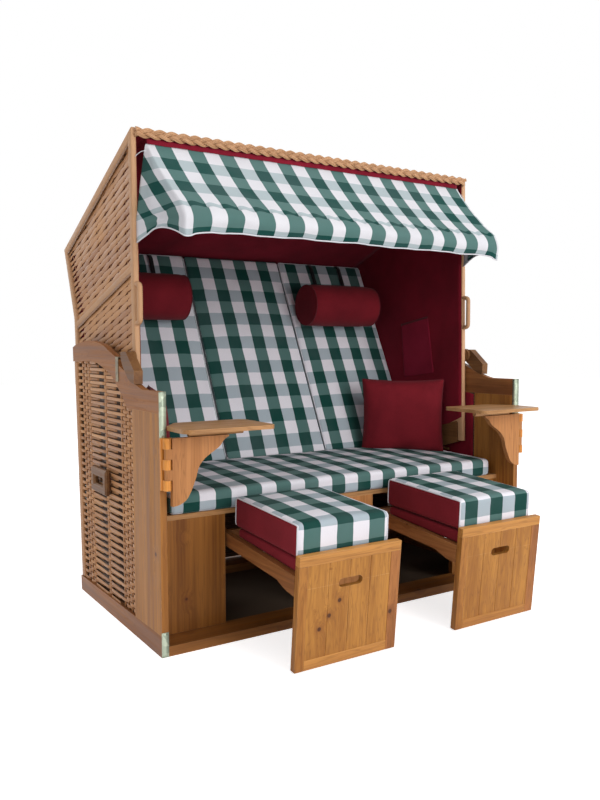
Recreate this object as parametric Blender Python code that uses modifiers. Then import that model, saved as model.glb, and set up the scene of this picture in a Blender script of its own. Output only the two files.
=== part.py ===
"""Hooded beach chair: a timber and wicker base with two pull-out footrests and two swing tables,
and a wicker hood with a gingham awning that tilts back on two bolts.

X is the width, Y runs from the front to the back and Z is up. Sizes are in metres."""

from math import cos, pi, radians, sin, tan

import bmesh
import bpy
from mathutils import Matrix, Vector
from mathutils.bvhtree import BVHTree

# Fits
TOUCH = 0.0003
OVERRUN = 0.004
WELD = 0.00001
CURVE_STEPS = 4
ROUND_STEPS = 24

# Base
BASE_WIDTH = 1.50
BASE_DEPTH = 0.78
BASE_LEAN = radians(3.45)
BOARD = 0.021
POST_DEPTH = 0.215
POST_TOP = 0.722
SILL_FRONT = 0.065
SILL_REAR = 0.053
RAIL_HEIGHT = 0.064
ARCH_RISE = 0.151
UNDERSIDE_RISE = 0.141
RAIL_OVERHANG = 0.058
RAIL_REACH = BASE_DEPTH + RAIL_OVERHANG
WICKER = 0.016
WICKER_RECESS = 0.003
FLOOR_BOARD = 0.030
FRONT_FLOOR_DEPTH = 0.10
REAR_FLOOR_DEPTH = 0.12
FRONT_BOARD_SETBACK = 0.09
FRONT_BOARD = 0.020
FRONT_BOARD_SIDE_SHARE = 0.3293
FRONT_BOARD_SIDE = FRONT_BOARD_SIDE_SHARE * BASE_WIDTH
FRONT_BOARD_CENTRE_SHARE = 0.0667
FRONT_BOARD_CENTRE = FRONT_BOARD_CENTRE_SHARE * BASE_WIDTH
SEAT_HEIGHT = 0.400
SEAT_BOARD = 0.015
SEAT_REAR_GAP = 0.12
SEAT_REAR = BASE_DEPTH - SEAT_REAR_GAP
SEAT_LEG = 0.020
REAR_WALL = 0.015
REAR_WALL_TOP = 0.42
REAR_WALL_SHOULDER = 0.315
REAR_WALL_NOTCH = 0.060
REAR_WALL_NECK = BASE_WIDTH / 2 - REAR_WALL_NOTCH

# Base trims
LATCH_PLATE = 0.002
LATCH_WIDTH = 0.023
LATCH_DROP = 0.080
LATCH_INNER_DROP = 0.020
CARRY_REAR_GAP = 0.19
CARRY_LENGTH = 0.155
CARRY_REAR = BASE_DEPTH - CARRY_REAR_GAP
CARRY_FRONT = CARRY_REAR - CARRY_LENGTH
CARRY_LOW = 0.411
CARRY_HIGH = 0.497
CARRY_THICK = 0.020
CARRY_CHAMFER = 0.006
SLOT_LENGTH = 0.090
SLOT_HEIGHT = 0.025
SLOT_MARGIN = 0.002

# Hood
HOOD_SIDE_GAP = 0.030
HOOD_HALF = BASE_WIDTH / 2 - HOOD_SIDE_GAP
HOOD_BOARD = 0.020
PIVOT_INSET = 0.18
PIVOT_Y = BASE_DEPTH - PIVOT_INSET
PIVOT_Z = 0.468
HOOD_FRONT_SHARE = 0.32692
HOOD_FRONT_LOW = HOOD_FRONT_SHARE * BASE_DEPTH
HOOD_FRONT_RISE = 0.018
HOOD_FRONT_TOP = HOOD_FRONT_LOW + HOOD_FRONT_RISE
LEG_BOTTOM = 0.519
LEG_DEPTH = 0.033
HOOD_TOP = 1.605
HOOD_OVERHANG = 0.253
HOOD_REAR = BASE_DEPTH + HOOD_OVERHANG
HOOD_REAR_Z = 1.300
STILE_BEND_INSET = 0.119
STILE_BEND_Y = HOOD_REAR - STILE_BEND_INSET
STILE_BEND_Z = 1.022
STILE_KNEE_INSET = 0.125
STILE_KNEE_Y = HOOD_REAR - STILE_KNEE_INSET
STILE_KNEE_Z = 0.930
STILE_FOOT_INSET = 0.148
STILE_FOOT_Y = HOOD_REAR - STILE_FOOT_INSET
STILE_FOOT_Z = 0.600
BEAM = 0.030
REAR_CORNER_RADIUS = 0.025
FRONT_CORNER_RADIUS = 0.010
SIDE_PANEL = 0.012
MID_RAIL_FRONT_Z = 1.171
MID_RAIL_REAR_Z = 1.017
MID_RAIL_REAR_INSET = 0.157
MID_RAIL_REAR_Y = HOOD_REAR - MID_RAIL_REAR_INSET
MID_RAIL_FRONT_INSET = 0.064
MID_RAIL_FRONT_Y = HOOD_FRONT_LOW + MID_RAIL_FRONT_INSET
MID_RAIL_HEIGHT = 0.026
WALL_RECESS = 0.003
WALL = 0.013

# Lower hood rail and its bolt
LOWER_RAIL_TOP = 0.601
LOWER_RAIL_BOTTOM = 0.5125
LOWER_RAIL_END = 0.050
END_TOP_ANGLE = radians(76)
END_BOTTOM_ANGLE = radians(-106)
BOLT_RADIUS = 0.008
BOLT_FIT = 0.0008
FLANGE_RADIUS = 0.028

# Lever
LEVER_INSET = 0.015
LEVER_Y = HOOD_FRONT_LOW + LEVER_INSET
LEVER_Z = 0.877
LEVER_DISC = 0.026
LEVER_THICK = 0.029
LEVER_REACH = 0.097
LEVER_FALL = 0.076
LEVER_HEEL = 0.023

# Hand grips
GRIP_LOW = 0.990
GRIP_HIGH = 1.115
GRIP_REACH = 0.034
GRIP_RADIUS = 0.009
GRIP_STUB = 0.006
GRIP_SQUARENESS = 0.7

# Braid
BRAID_INSET = 0.008
BRAID_HALF = HOOD_HALF - BRAID_INSET
BRAID_HEIGHT = 0.040
BRAID_DEPTH = 0.018
BRAID_ROUND = 0.006
BRAID_STAND = 0.002

# Backrest
BACK_FOOT_FORWARD = 0.035
BACK_FOOT_Y = PIVOT_Y - BACK_FOOT_FORWARD
BACK_FOOT_Z = 0.478
BACK_TILT = radians(25.65)
BACK_LENGTH = 0.915
BACK_BOARD = 0.009
BACK_PAD = 0.032
BACK_CROWN = 0.009
BACK_DRAW = 0.004
BACK_MARGIN = 0.002
BACK_PANELS = 3
BACK_PANEL = 2 * (HOOD_HALF - HOOD_BOARD - BACK_MARGIN) / BACK_PANELS
BACK_PANEL_GAP = 0.0006

# Seat cushion
SEAT_PAD_MARGIN = 0.016
SEAT_PAD_HALF = HOOD_HALF - HOOD_BOARD - SEAT_PAD_MARGIN
SEAT_PAD_FRONT = 0.080
SEAT_PAD_REAR_GAP = 0.22
SEAT_PAD_REAR = BASE_DEPTH - SEAT_PAD_REAR_GAP
SEAT_PAD_THICK = 0.066
SEAT_CROWN = 0.006
SEAT_DRAW = 0.006

# Scatter cushions
SCATTER_SIDE = 0.154
SCATTER_X = SEAT_PAD_HALF - SCATTER_SIDE
SCATTER_FORWARD = 0.122
SCATTER_Y = SEAT_PAD_REAR - SCATTER_FORWARD
SCATTER_WIDTH = 0.345
SCATTER_HEIGHT = 0.310
SCATTER_THICK = 0.095
SCATTER_TURN = radians(-43)
SCATTER_TILT = radians(4)
SCATTER_LEFT_SIDE = 0.086
SCATTER_LEFT_X = SCATTER_LEFT_SIDE - SEAT_PAD_HALF
SCATTER_LEFT_FORWARD = 0.148
SCATTER_LEFT_Y = SEAT_PAD_REAR - SCATTER_LEFT_FORWARD
SCATTER_LEFT_TURN = radians(71)

# Neck rolls
ROLL_LENGTH = 0.352
ROLL_RADIUS = 0.092
ROLL_Z_RIGHT = 1.144
ROLL_Z_LEFT = 1.163
ROLL_GAP_RIGHT = 0.101
ROLL_X_RIGHT = HOOD_HALF - HOOD_BOARD - ROLL_GAP_RIGHT - ROLL_LENGTH / 2
ROLL_GAP_LEFT = 0.025
ROLL_X_LEFT = ROLL_GAP_LEFT + ROLL_LENGTH / 2 - HOOD_HALF + HOOD_BOARD
ROLL_START_Y = BACK_FOOT_Y + ROLL_RADIUS

# Awning
AWNING_INSET = 0.052
AWNING_TOP_HALF = HOOD_HALF - AWNING_INSET
AWNING_TOP_Z = 1.556
AWNING_TAPER = 0.018
AWNING_BAR_HALF = AWNING_TOP_HALF - AWNING_TAPER
AWNING_BAR_Y = 0.045
AWNING_BAR_Z = 1.340
VALANCE = 0.078
CLOTH = 0.003
GORE_INSET = 0.0125
GORE_X = HOOD_HALF - GORE_INSET
GORE_HEM_Z = 1.245
GORE_CREASE_Z = 1.315
CLOTH_COLUMNS = 48
SLOPE_ROWS = 6
VALANCE_ROWS = 3
PUCKER = 0.007
PUCKER_COUNT = 12
PUCKER_RISE_SHARE = 0.3
HEM_FLARE = 0.5
GORE_PUCKER_SHARE = 0.5
GORE_COLUMNS = 4
BOW_RADIUS = 0.007
BOW_PIVOT_Z = 1.325
BOW_PIVOT_BACK = 0.014
BOW_BEHIND = 0.020
BOW_BELOW = 0.018
BOW_BEND_SHARES = ((-1.0, 0.0), (0.0, 0.3), (0.6, 1.0))

# Tables
TABLE_TOP = 0.685
TABLE_THICK = 0.012
TABLE_WIDTH = 0.296
TABLE_SIDE_GAP = 0.023
TABLE_OUTER = BASE_WIDTH / 2 - TABLE_SIDE_GAP
TABLE_INNER = TABLE_OUTER - TABLE_WIDTH
TABLE_FRONT = -0.135
TABLE_REAR = 0.085
TABLE_CHAMFER = 0.060
TABLE_CHAMFER_DEPTH = 0.085
TABLE_CORNER = 0.028
SWING_INSET = 0.015
SWING_X = BASE_WIDTH / 2 - SWING_INSET
SWING_Y = -0.022
KNUCKLE_RADIUS = 0.011
KNUCKLE_GAP = 0.0012
COMB_LOW = 0.500
COMB_HIGH = 0.652
COMB_FINGERS = 5
FINGER_GAP = 0.0004
LEAF_THICK = 0.010
LEAF_WIDTH = 0.035
LEAF_INNER = BASE_WIDTH / 2 - LEAF_WIDTH
BRACKET_THICK = 0.018
BRACKET_LOW = 0.453
BRACKET_REACH = 0.196
BRACKET_TIP = SWING_X - BRACKET_REACH
FOLD_DROP = 0.012
STRIP_RADIUS = 0.008
STRIP_LENGTH = 0.180

# Footrests
FOOT_X_SHARE = 0.20333
FOOT_X = FOOT_X_SHARE * BASE_WIDTH
FOOT_WIDTH_SHARE = 0.24
FOOT_WIDTH = FOOT_WIDTH_SHARE * BASE_WIDTH
FOOT_HEIGHT = 0.338
FOOT_THICK = 0.023
FOOT_TOP_Y = -0.341
FOOT_TOP_Z = 0.3395
FOOT_TILT = radians(5.4)
FOOT_CHAMFER = 0.002
FOOT_SLOT_LENGTH = 0.085
FOOT_SLOT_HEIGHT = 0.029
FOOT_SLOT_DOWN = 0.097
SLIDE_ANGLE = radians(5.2)
RUNNER_Y = 0.093
RUNNER_Z = 0.276
RAIL_THICK = 0.022
FOOT_RAIL_HEIGHT = 0.042
RAIL_REAR = 0.170
CORBEL_REAR = -0.216
CORBEL_DROP = 0.025
CROSS_BAR = 0.020
PAD_THICK = 0.030
PAD_SIDE_GAP = 0.015
PAD_HALF = FOOT_WIDTH / 2 - PAD_SIDE_GAP
PAD_REAR = 0.050
FOOT_PAD_SIDE_GAP = 0.010
FOOT_PAD_HALF = FOOT_WIDTH / 2 - FOOT_PAD_SIDE_GAP
FOOT_PAD_THICK = 0.118
FOOT_PAD_ROUND = 0.008
FOOT_PAD_CROWN = 0.006
FOOT_PAD_DRAW = 0.005
FOOT_PAD_LENGTH = 0.352
SHELF_THICK = 0.018
SHELF_SETBACK = 0.034
SHELF_LEDGE = 0.029
SHELF_SLOT_INNER = FOOT_X - FOOT_WIDTH / 2 + SHELF_LEDGE
SHELF_SLOT_OUTER = FOOT_X + FOOT_WIDTH / 2 - SHELF_LEDGE

# Outlines, as shares of the reach and the rise that they follow
SWEEP_SHARES = ((0.156, 0.0), (0.206, 0.066), (0.249, 0.146), (0.286, 0.238), (0.346, 0.371), (0.398, 0.450))
ARCH_SHARES = ((0.398, 0.58), (0.507, 0.762), (0.600, 0.914), (0.759, 1.0), (0.924, 0.927), (1.0, 0.841))
UNDERSIDE_SHARES = ((0.317, 0.0), (0.358, 0.22), (0.476, 0.667), (0.605, 0.90), (0.723, 1.0), (1.0, 0.979))
LEVER_SHARES = ((0.0, 0.41), (0.02, 0.0), (0.25, 0.05), (0.46, 0.16), (0.78, 0.485), (0.95, 0.73), (1.0, 0.97),
                (0.80, 1.0), (0.59, 1.0))
BRACKET_SHARES = ((1.0, 0.0), (0.88, 0.02), (0.76, 0.09), (0.67, 0.23), (0.60, 0.39), (0.54, 0.56),
                  (0.44, 0.67), (0.35, 0.73), (0.18, 0.83), (0.09, 0.93), (0.0, 0.98))
ROLL_SHARES = ((0.0, 1.0), (0.55, 0.985), (0.88, 0.93), (1.0, 0.84), (0.985, 0.0),
               (1.0, -0.84), (0.88, -0.93), (0.55, -0.985), (0.0, -1.0))
SEAM_CREASE = 0.55
SEAM_SHARE = 0.22
DIP_SHARE = 0.05
CORBEL_SHARES = ((0.0, 0.0), (0.45, 0.25), (0.75, 0.62), (0.92, 0.86))

# Colours, roughness and metallic values
PINE = ("pine", (0.50, 0.24, 0.09), 0.55, 0.0)
PALE_PINE = ("pale_pine", (0.72, 0.45, 0.22), 0.55, 0.0)
CANE = ("cane", (0.66, 0.50, 0.36), 0.50, 0.0)
ZINC = ("zinc", (0.62, 0.66, 0.60), 0.42, 1.0)
STEEL = ("steel", (0.55, 0.55, 0.55), 0.35, 1.0)
CANVAS = ("canvas", (0.30, 0.02, 0.04), 0.90, 0.0)
GINGHAM = ("gingham", (0.55, 0.66, 0.62), 0.90, 0.0)

# Names of the object, its reference point and its joints
OBJECT = "beach_chair"
ROOT = "ground_centre"
HOOD = "hood_pivot"
BOW = "bow_pivot"


def clear_scene():
    for thing in list(bpy.data.objects):
        bpy.data.objects.remove(thing, do_unlink=True)
    for collection in list(bpy.data.collections):
        bpy.data.collections.remove(collection)


def make_material(name, colour, roughness, metallic):
    material = bpy.data.materials.get(name)
    if material is None:
        material = bpy.data.materials.new(name)
        material.use_nodes = True
        surface = material.node_tree.nodes["Principled BSDF"]
        surface.inputs["Base Color"].default_value = (*colour, 1.0)
        surface.inputs["Roughness"].default_value = roughness
        surface.inputs["Metallic"].default_value = metallic
    return material


def parts_collection():
    collection = bpy.data.collections.get(OBJECT)
    if collection is None:
        collection = bpy.data.collections.new(OBJECT)
        bpy.context.scene.collection.children.link(collection)
    return collection


def world_place(thing):
    """Where an empty is, through the empties that carry it."""
    place = Vector((0, 0, 0))
    while thing:
        place += thing.location
        thing = thing.parent
    return place


def pivot(name, location, parent=None):
    empty = bpy.data.objects.new(name, None)
    empty.parent = parent
    empty.location = Vector(location) - world_place(parent)
    parts_collection().objects.link(empty)
    return empty


def add(name, mesh, finish, parent, location=(0, 0, 0), rotation=(0, 0, 0)):
    mesh.name = name
    mesh.materials.clear()
    mesh.materials.append(make_material(*finish))
    part = bpy.data.objects.new(name, mesh)
    parts_collection().objects.link(part)
    part.parent = parent
    part.location = Vector(location) - world_place(parent)
    part.rotation_euler = rotation
    return part


def mirrored(part, name, parent):
    """The same piece on the left side, as its mirror image across X = 0."""
    flip = Matrix.Diagonal((-1, 1, 1, 1))
    mesh = part.data.copy()
    mesh.transform(flip)
    mesh.flip_normals()
    place = Vector(part.location) + world_place(part.parent)
    turn = flip @ part.rotation_euler.to_matrix().to_4x4() @ flip
    finish = part.data.materials[0]
    copy = bpy.data.objects.new(name, mesh)
    mesh.name = name
    mesh.materials[0] = finish
    parts_collection().objects.link(copy)
    copy.parent = parent
    copy.location = Vector((-place.x, place.y, place.z)) - world_place(parent)
    copy.rotation_euler = turn.to_euler()
    return copy


def pair(build, name, parents):
    """Builds the right piece and mirrors it. Parents are the left one and the right one."""
    right = build(name + "_right", parents[1])
    mirrored(right, name + "_left", parents[0])


def tidy(work):
    bmesh.ops.remove_doubles(work, verts=work.verts, dist=WELD)
    bmesh.ops.recalc_face_normals(work, faces=work.faces)


def evaluated_mesh(thing):
    """The evaluated mesh of an object that is then removed, with its loose caps welded."""
    bpy.context.view_layer.update()
    graph = bpy.context.evaluated_depsgraph_get()
    mesh = bpy.data.meshes.new_from_object(thing.evaluated_get(graph))
    mesh.transform(thing.matrix_world)
    work = bmesh.new()
    work.from_mesh(mesh)
    tidy(work)
    work.to_mesh(mesh)
    work.free()
    bpy.data.objects.remove(thing, do_unlink=True)
    return mesh


PLANES = {
    "YZ": Matrix(((0, 0, 1, 0), (1, 0, 0, 0), (0, 1, 0, 0), (0, 0, 0, 1))),
    "XZ": Matrix(((1, 0, 0, 0), (0, 0, -1, 0), (0, 1, 0, 0), (0, 0, 0, 1))),
    "XY": Matrix.Identity(4),
}


def slab(outlines, thickness, plane):
    """A flat outline with its holes, filled and extruded to both sides of the plane."""
    curve = bpy.data.curves.new("outline", "CURVE")
    curve.dimensions = "2D"
    curve.fill_mode = "BOTH"
    curve.extrude = thickness / 2
    for outline in outlines:
        spline = curve.splines.new("POLY")
        spline.points.add(len(outline) - 1)
        for point, (a, b) in zip(spline.points, outline):
            point.co = (a, b, 0, 1)
        spline.use_cyclic_u = True
    thing = bpy.data.objects.new("outline", curve)
    bpy.context.scene.collection.objects.link(thing)
    thing.matrix_world = PLANES[plane]
    return evaluated_mesh(thing)


def slab_between(outlines, low, high, plane="YZ"):
    """The slab of an outline between two places along the normal of its plane."""
    mesh = slab(outlines, high - low, plane)
    middle = (low + high) / 2
    if plane == "YZ":
        mesh.transform(Matrix.Translation((middle, 0, 0)))
    elif plane == "XZ":
        mesh.transform(Matrix.Translation((0, middle, 0)))
    else:
        mesh.transform(Matrix.Translation((0, 0, middle)))
    return mesh


def box_mesh(low, high):
    work = bmesh.new()
    bmesh.ops.create_cube(work, size=1)
    size = Vector(high) - Vector(low)
    middle = (Vector(high) + Vector(low)) / 2
    work.transform(Matrix.Translation(middle) @ Matrix.Diagonal((*size, 1)))
    mesh = bpy.data.meshes.new("box")
    work.to_mesh(mesh)
    work.free()
    return mesh


def disc_mesh(radius, low, high, centre):
    """A round disc across X, between two values of X, about a point of Y and Z."""
    work = bmesh.new()
    bmesh.ops.create_cone(work, cap_ends=True, segments=ROUND_STEPS, radius1=radius, radius2=radius,
                          depth=high - low)
    turn = Matrix.Rotation(pi / 2, 4, "Y")
    work.transform(Matrix.Translation(((low + high) / 2, *centre)) @ turn)
    mesh = bpy.data.meshes.new("disc")
    work.to_mesh(mesh)
    work.free()
    return mesh


def post_mesh(radius, low, high, centre):
    """An upright cylinder between two heights about a point of X and Y."""
    work = bmesh.new()
    bmesh.ops.create_cone(work, cap_ends=True, segments=ROUND_STEPS, radius1=radius, radius2=radius,
                          depth=high - low)
    work.transform(Matrix.Translation((*centre, (low + high) / 2)))
    mesh = bpy.data.meshes.new("knuckle")
    work.to_mesh(mesh)
    work.free()
    return mesh


def joined(first, others, operation="UNION"):
    """The first mesh with the others joined to it or cut from it."""
    base = bpy.data.objects.new("base", first)
    bpy.context.scene.collection.objects.link(base)
    tools = []
    for index, mesh in enumerate(others):
        tool = bpy.data.objects.new(f"tool_{index}", mesh)
        bpy.context.scene.collection.objects.link(tool)
        tool.hide_render = True
        tool.display_type = "WIRE"
        cut = base.modifiers.new(f"join_{index}", "BOOLEAN")
        cut.operation = operation
        cut.solver = "EXACT"
        cut.object = tool
        tools.append(tool)
    mesh = evaluated_mesh(base)
    for tool in tools:
        bpy.data.objects.remove(tool, do_unlink=True)
    return mesh


def bevelled(part, width, segments=2):
    """Rounded edges, as a modifier that stays on the object."""
    edge = part.modifiers.new("rounded", "BEVEL")
    edge.width = width
    edge.segments = segments
    edge.limit_method = "ANGLE"
    return part


def smooth_line(points):
    """Points of a Catmull-Rom curve through the given points."""
    line = []
    last = len(points) - 1
    for index in range(last):
        before = Vector(points[max(index - 1, 0)])
        start = Vector(points[index])
        end = Vector(points[index + 1])
        after = Vector(points[min(index + 2, last)])
        for step in range(CURVE_STEPS):
            t = step / CURVE_STEPS
            line.append(0.5 * (2 * start + (end - before) * t
                               + (2 * before - 5 * start + 4 * end - after) * t ** 2
                               + (3 * start - before - 3 * end + after) * t ** 3))
    line.append(Vector(points[-1]))
    return [tuple(point) for point in line]


def inset(points, distance):
    """A closed outline, listed anticlockwise, moved inward by a distance with mitred corners."""
    result = []
    count = len(points)
    for index in range(count):
        here = Vector(points[index])
        ahead = (Vector(points[(index + 1) % count]) - here).normalized()
        behind = (here - Vector(points[index - 1])).normalized()
        normal_a = Vector((-behind.y, behind.x))
        normal_b = Vector((-ahead.y, ahead.x))
        mitre = (normal_a + normal_b).normalized()
        result.append(tuple(here + mitre * (distance / mitre.dot(normal_a))))
    return result


def rounded(points, index, radius, steps=5):
    """The outline with one corner replaced by an arc."""
    here = Vector(points[index])
    to_last = (Vector(points[index - 1]) - here).normalized()
    to_next = (Vector(points[(index + 1) % len(points)]) - here).normalized()
    half = to_last.angle(to_next) / 2
    centre = here + (to_last + to_next).normalized() * (radius / sin(half))
    start = here + to_last * (radius / tan(half)) - centre
    end = here + to_next * (radius / tan(half)) - centre
    sweep = start.angle_signed(end)
    arc = []
    for step in range(steps + 1):
        angle = -sweep * step / steps
        turned = Matrix.Rotation(angle, 2) @ start
        arc.append(tuple(centre + turned))
    return points[:index] + arc + points[index + 1:]


def circle(centre, radius, steps=ROUND_STEPS):
    return [(centre[0] + radius * cos(2 * pi * step / steps),
             centre[1] + radius * sin(2 * pi * step / steps)) for step in range(steps)]


def rectangle(low_a, high_a, low_b, high_b):
    return [(low_a, low_b), (high_a, low_b), (high_a, high_b), (low_a, high_b)]


def rear_edge(height):
    """Where the leaning rear edge of the base is at a height."""
    return BASE_DEPTH + height * tan(BASE_LEAN)


def sill_top(depth):
    return SILL_FRONT + (SILL_REAR - SILL_FRONT) * depth / BASE_DEPTH


def post_front(height):
    """Where the front edge of the hood is at a height."""
    share = (height - LEG_BOTTOM) / (HOOD_TOP - LEG_BOTTOM)
    return HOOD_FRONT_LOW + (HOOD_FRONT_TOP - HOOD_FRONT_LOW) * share


def height_on(line, depth):
    """The height of a line of points at a depth."""
    for (y_a, z_a), (y_b, z_b) in zip(line, line[1:]):
        if y_a <= depth <= y_b:
            return z_a + (z_b - z_a) * (depth - y_a) / (y_b - y_a)
    return line[-1][1]


# The base's sides

OUTER = BASE_WIDTH / 2
BOARD_INNER = OUTER - BOARD
WICKER_OUTER = OUTER - WICKER_RECESS
WICKER_INNER = WICKER_OUTER - WICKER
RAIL_TOP = POST_TOP + RAIL_HEIGHT


def sweep_line():
    return smooth_line([(a * RAIL_REACH, RAIL_TOP + b * ARCH_RISE) for a, b in SWEEP_SHARES])


def arch_line():
    line = [(a * RAIL_REACH, RAIL_TOP + b * ARCH_RISE) for a, b in ARCH_SHARES]
    line[-1] = (rear_edge(line[-1][1]), line[-1][1])
    return smooth_line(line)


def underside_line(drop=0.0):
    line = [(a * RAIL_REACH, POST_TOP + b * UNDERSIDE_RISE - drop) for a, b in UNDERSIDE_SHARES]
    line[-1] = (rear_edge(line[-1][1]), line[-1][1])
    return smooth_line(line)


def build_front_post(name, parent):
    outline = [(0, sill_top(0) + TOUCH), (POST_DEPTH, sill_top(POST_DEPTH) + TOUCH),
               (POST_DEPTH, POST_TOP - TOUCH), (0, POST_TOP - TOUCH)]
    return add(name, slab_between([outline], BOARD_INNER, OUTER), PINE, parent)


def build_top_rail(name, parent):
    outline = [(0, POST_TOP)] + underside_line() + arch_line()[::-1] + sweep_line()[::-1] + [(0, RAIL_TOP)]
    return add(name, slab_between([outline], BOARD_INNER, OUTER), PINE, parent)


def build_bottom_rail(name, parent):
    outline = [(0, 0), (BASE_DEPTH, 0), (rear_edge(SILL_REAR), SILL_REAR), (0, SILL_FRONT)]
    return add(name, slab_between([outline], BOARD_INNER, OUTER), PINE, parent)


def carry_slot(margin):
    """The finger slot of the carry handle, widened by a margin."""
    middle_y = (CARRY_FRONT + CARRY_REAR) / 2
    middle_z = (CARRY_LOW + CARRY_HIGH) / 2
    half_length = SLOT_LENGTH / 2 + margin
    half_height = SLOT_HEIGHT / 2 + margin
    return rectangle(middle_y - half_length, middle_y + half_length,
                     middle_z - half_height, middle_z + half_height)


def build_side_wicker(name, parent):
    front = POST_DEPTH + TOUCH
    low = sill_top(front) + TOUCH
    rear_low = SILL_REAR + TOUCH
    outline = [(front, low), (rear_edge(rear_low), rear_low)] + underside_line(TOUCH)[::-1]
    outline.append((front, POST_TOP - TOUCH))
    return add(name, slab_between([outline, carry_slot(SLOT_MARGIN)], WICKER_INNER, WICKER_OUTER), CANE, parent)


def build_carry_handles(parent):
    outline = rectangle(CARRY_FRONT, CARRY_REAR, CARRY_LOW, CARRY_HIGH)
    inner = WICKER_OUTER + TOUCH
    mesh = slab_between([outline, carry_slot(0)], inner, inner + CARRY_THICK)
    right = add("carry_handle_right", mesh, PALE_PINE, parent)
    for part in (right, mirrored(right, "carry_handle_left", parent)):
        bevelled(part, CARRY_CHAMFER, 1)


def build_latch_plate(name, parent):
    """A strip folded over the start of the arch."""
    front = ARCH_SHARES[0][0] * RAIL_REACH + TOUCH
    seat = height_on(arch_line(), front + LATCH_WIDTH) + TOUCH
    inner = BOARD_INNER - TOUCH
    outer = OUTER + TOUCH
    top = seat + LATCH_PLATE
    outline = [(inner - LATCH_PLATE, top - LATCH_INNER_DROP), (inner, top - LATCH_INNER_DROP), (inner, seat),
               (outer, seat), (outer, top - LATCH_DROP), (outer + LATCH_PLATE, top - LATCH_DROP),
               (outer + LATCH_PLATE, top), (inner - LATCH_PLATE, top)]
    return add(name, slab_between([outline], front, front + LATCH_WIDTH, "XZ"), ZINC, parent)


# Boards across the base

def build_boards(parent):
    half = BOARD_INNER - TOUCH
    front_low = FLOOR_BOARD + TOUCH
    front_high = SEAT_HEIGHT - SEAT_BOARD - TOUCH
    front = FRONT_BOARD_SETBACK
    rear = front + FRONT_BOARD
    add("front_floor_board", box_mesh((-half, 0, 0), (half, FRONT_FLOOR_DEPTH, FLOOR_BOARD)), PINE, parent)
    add("rear_floor_board", box_mesh((-half, BASE_DEPTH - REAR_FLOOR_DEPTH, 0), (half, BASE_DEPTH, FLOOR_BOARD)), PINE, parent)
    add("front_board_centre", box_mesh((-FRONT_BOARD_CENTRE, front, front_low),
                                       (FRONT_BOARD_CENTRE, rear, front_high)), PALE_PINE, parent)

    def side_board(name, side_parent):
        return add(name, box_mesh((FRONT_BOARD_SIDE, front, front_low), (half, rear, front_high)), PINE, side_parent)

    pair(side_board, "front_board", (parent, parent))


def runner_z(depth):
    """Height of the plane that the footrest rails slide on."""
    return RUNNER_Z + (depth - RUNNER_Y) * tan(SLIDE_ANGLE)


def build_seat_board(parent):
    low = SEAT_HEIGHT - SEAT_BOARD
    leg = SEAT_REAR - SEAT_LEG
    outline = [(FRONT_BOARD_SETBACK, low), (leg, low), (leg, runner_z(leg)), (SEAT_REAR, runner_z(SEAT_REAR)),
               (SEAT_REAR, SEAT_HEIGHT), (FRONT_BOARD_SETBACK, SEAT_HEIGHT)]
    half = BOARD_INNER - TOUCH
    add("seat_board", slab_between([outline], -half, half), PALE_PINE, parent)


def build_shelf(parent):
    """The board that carries the footrest rails, with a bay for each footrest cut into its front."""
    front = FRONT_BOARD_SETBACK + FRONT_BOARD + SHELF_SETBACK
    half = BOARD_INNER - TOUCH
    bay = SEAT_REAR - SEAT_LEG - front
    outline = [(-half, 0), (-SHELF_SLOT_OUTER, 0), (-SHELF_SLOT_OUTER, bay), (-SHELF_SLOT_INNER, bay),
               (-SHELF_SLOT_INNER, 0), (SHELF_SLOT_INNER, 0), (SHELF_SLOT_INNER, bay), (SHELF_SLOT_OUTER, bay),
               (SHELF_SLOT_OUTER, 0), (half, 0), (half, SEAT_REAR - front), (-half, SEAT_REAR - front)]
    mesh = slab_between([outline], -SHELF_THICK, 0, "XY")
    add("runner_shelf", mesh, PINE, parent, (0, front, runner_z(front) - TOUCH), (SLIDE_ANGLE, 0, 0))


def build_rear_wicker(parent):
    low = FLOOR_BOARD + TOUCH
    half = BOARD_INNER - TOUCH
    top = REAR_WALL_TOP - low
    shoulder = REAR_WALL_SHOULDER - low
    outline = [(-half, 0), (half, 0), (half, shoulder), (REAR_WALL_NECK, shoulder), (REAR_WALL_NECK, top),
               (-REAR_WALL_NECK, top), (-REAR_WALL_NECK, shoulder), (-half, shoulder)]
    mesh = slab_between([outline], -REAR_WALL, 0, "XZ")
    lift = REAR_WALL * sin(BASE_LEAN)
    add("rear_wicker", mesh, CANE, parent, (0, rear_edge(low) - OVERRUN, low + lift), (-BASE_LEAN, 0, 0))


# The hood

HOOD_INNER = HOOD_HALF - HOOD_BOARD
BOLT_OUTER = WICKER_INNER - TOUCH


def rail_end_arc():
    """The round rear end of the lower hood rail, from its bottom edge round to its top edge."""
    steps = ROUND_STEPS // 2
    arc = []
    for step in range(steps + 1):
        angle = END_BOTTOM_ANGLE + (END_TOP_ANGLE - END_BOTTOM_ANGLE) * step / steps
        arc.append((PIVOT_Y + LOWER_RAIL_END * cos(angle), PIVOT_Z + LOWER_RAIL_END * sin(angle)))
    return arc


def hood_outline():
    """The ring that the hood's side frame follows, anticlockwise from the foot of the front edge."""
    foot = LOWER_RAIL_TOP + TOUCH
    over_end = (rail_end_arc()[-1][0], rail_end_arc()[-1][1] + TOUCH)
    return [(post_front(foot), foot), over_end, (STILE_FOOT_Y, STILE_FOOT_Z), (STILE_KNEE_Y, STILE_KNEE_Z),
            (STILE_BEND_Y, STILE_BEND_Z), (HOOD_REAR, HOOD_REAR_Z), (HOOD_FRONT_TOP, HOOD_TOP)]


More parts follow.
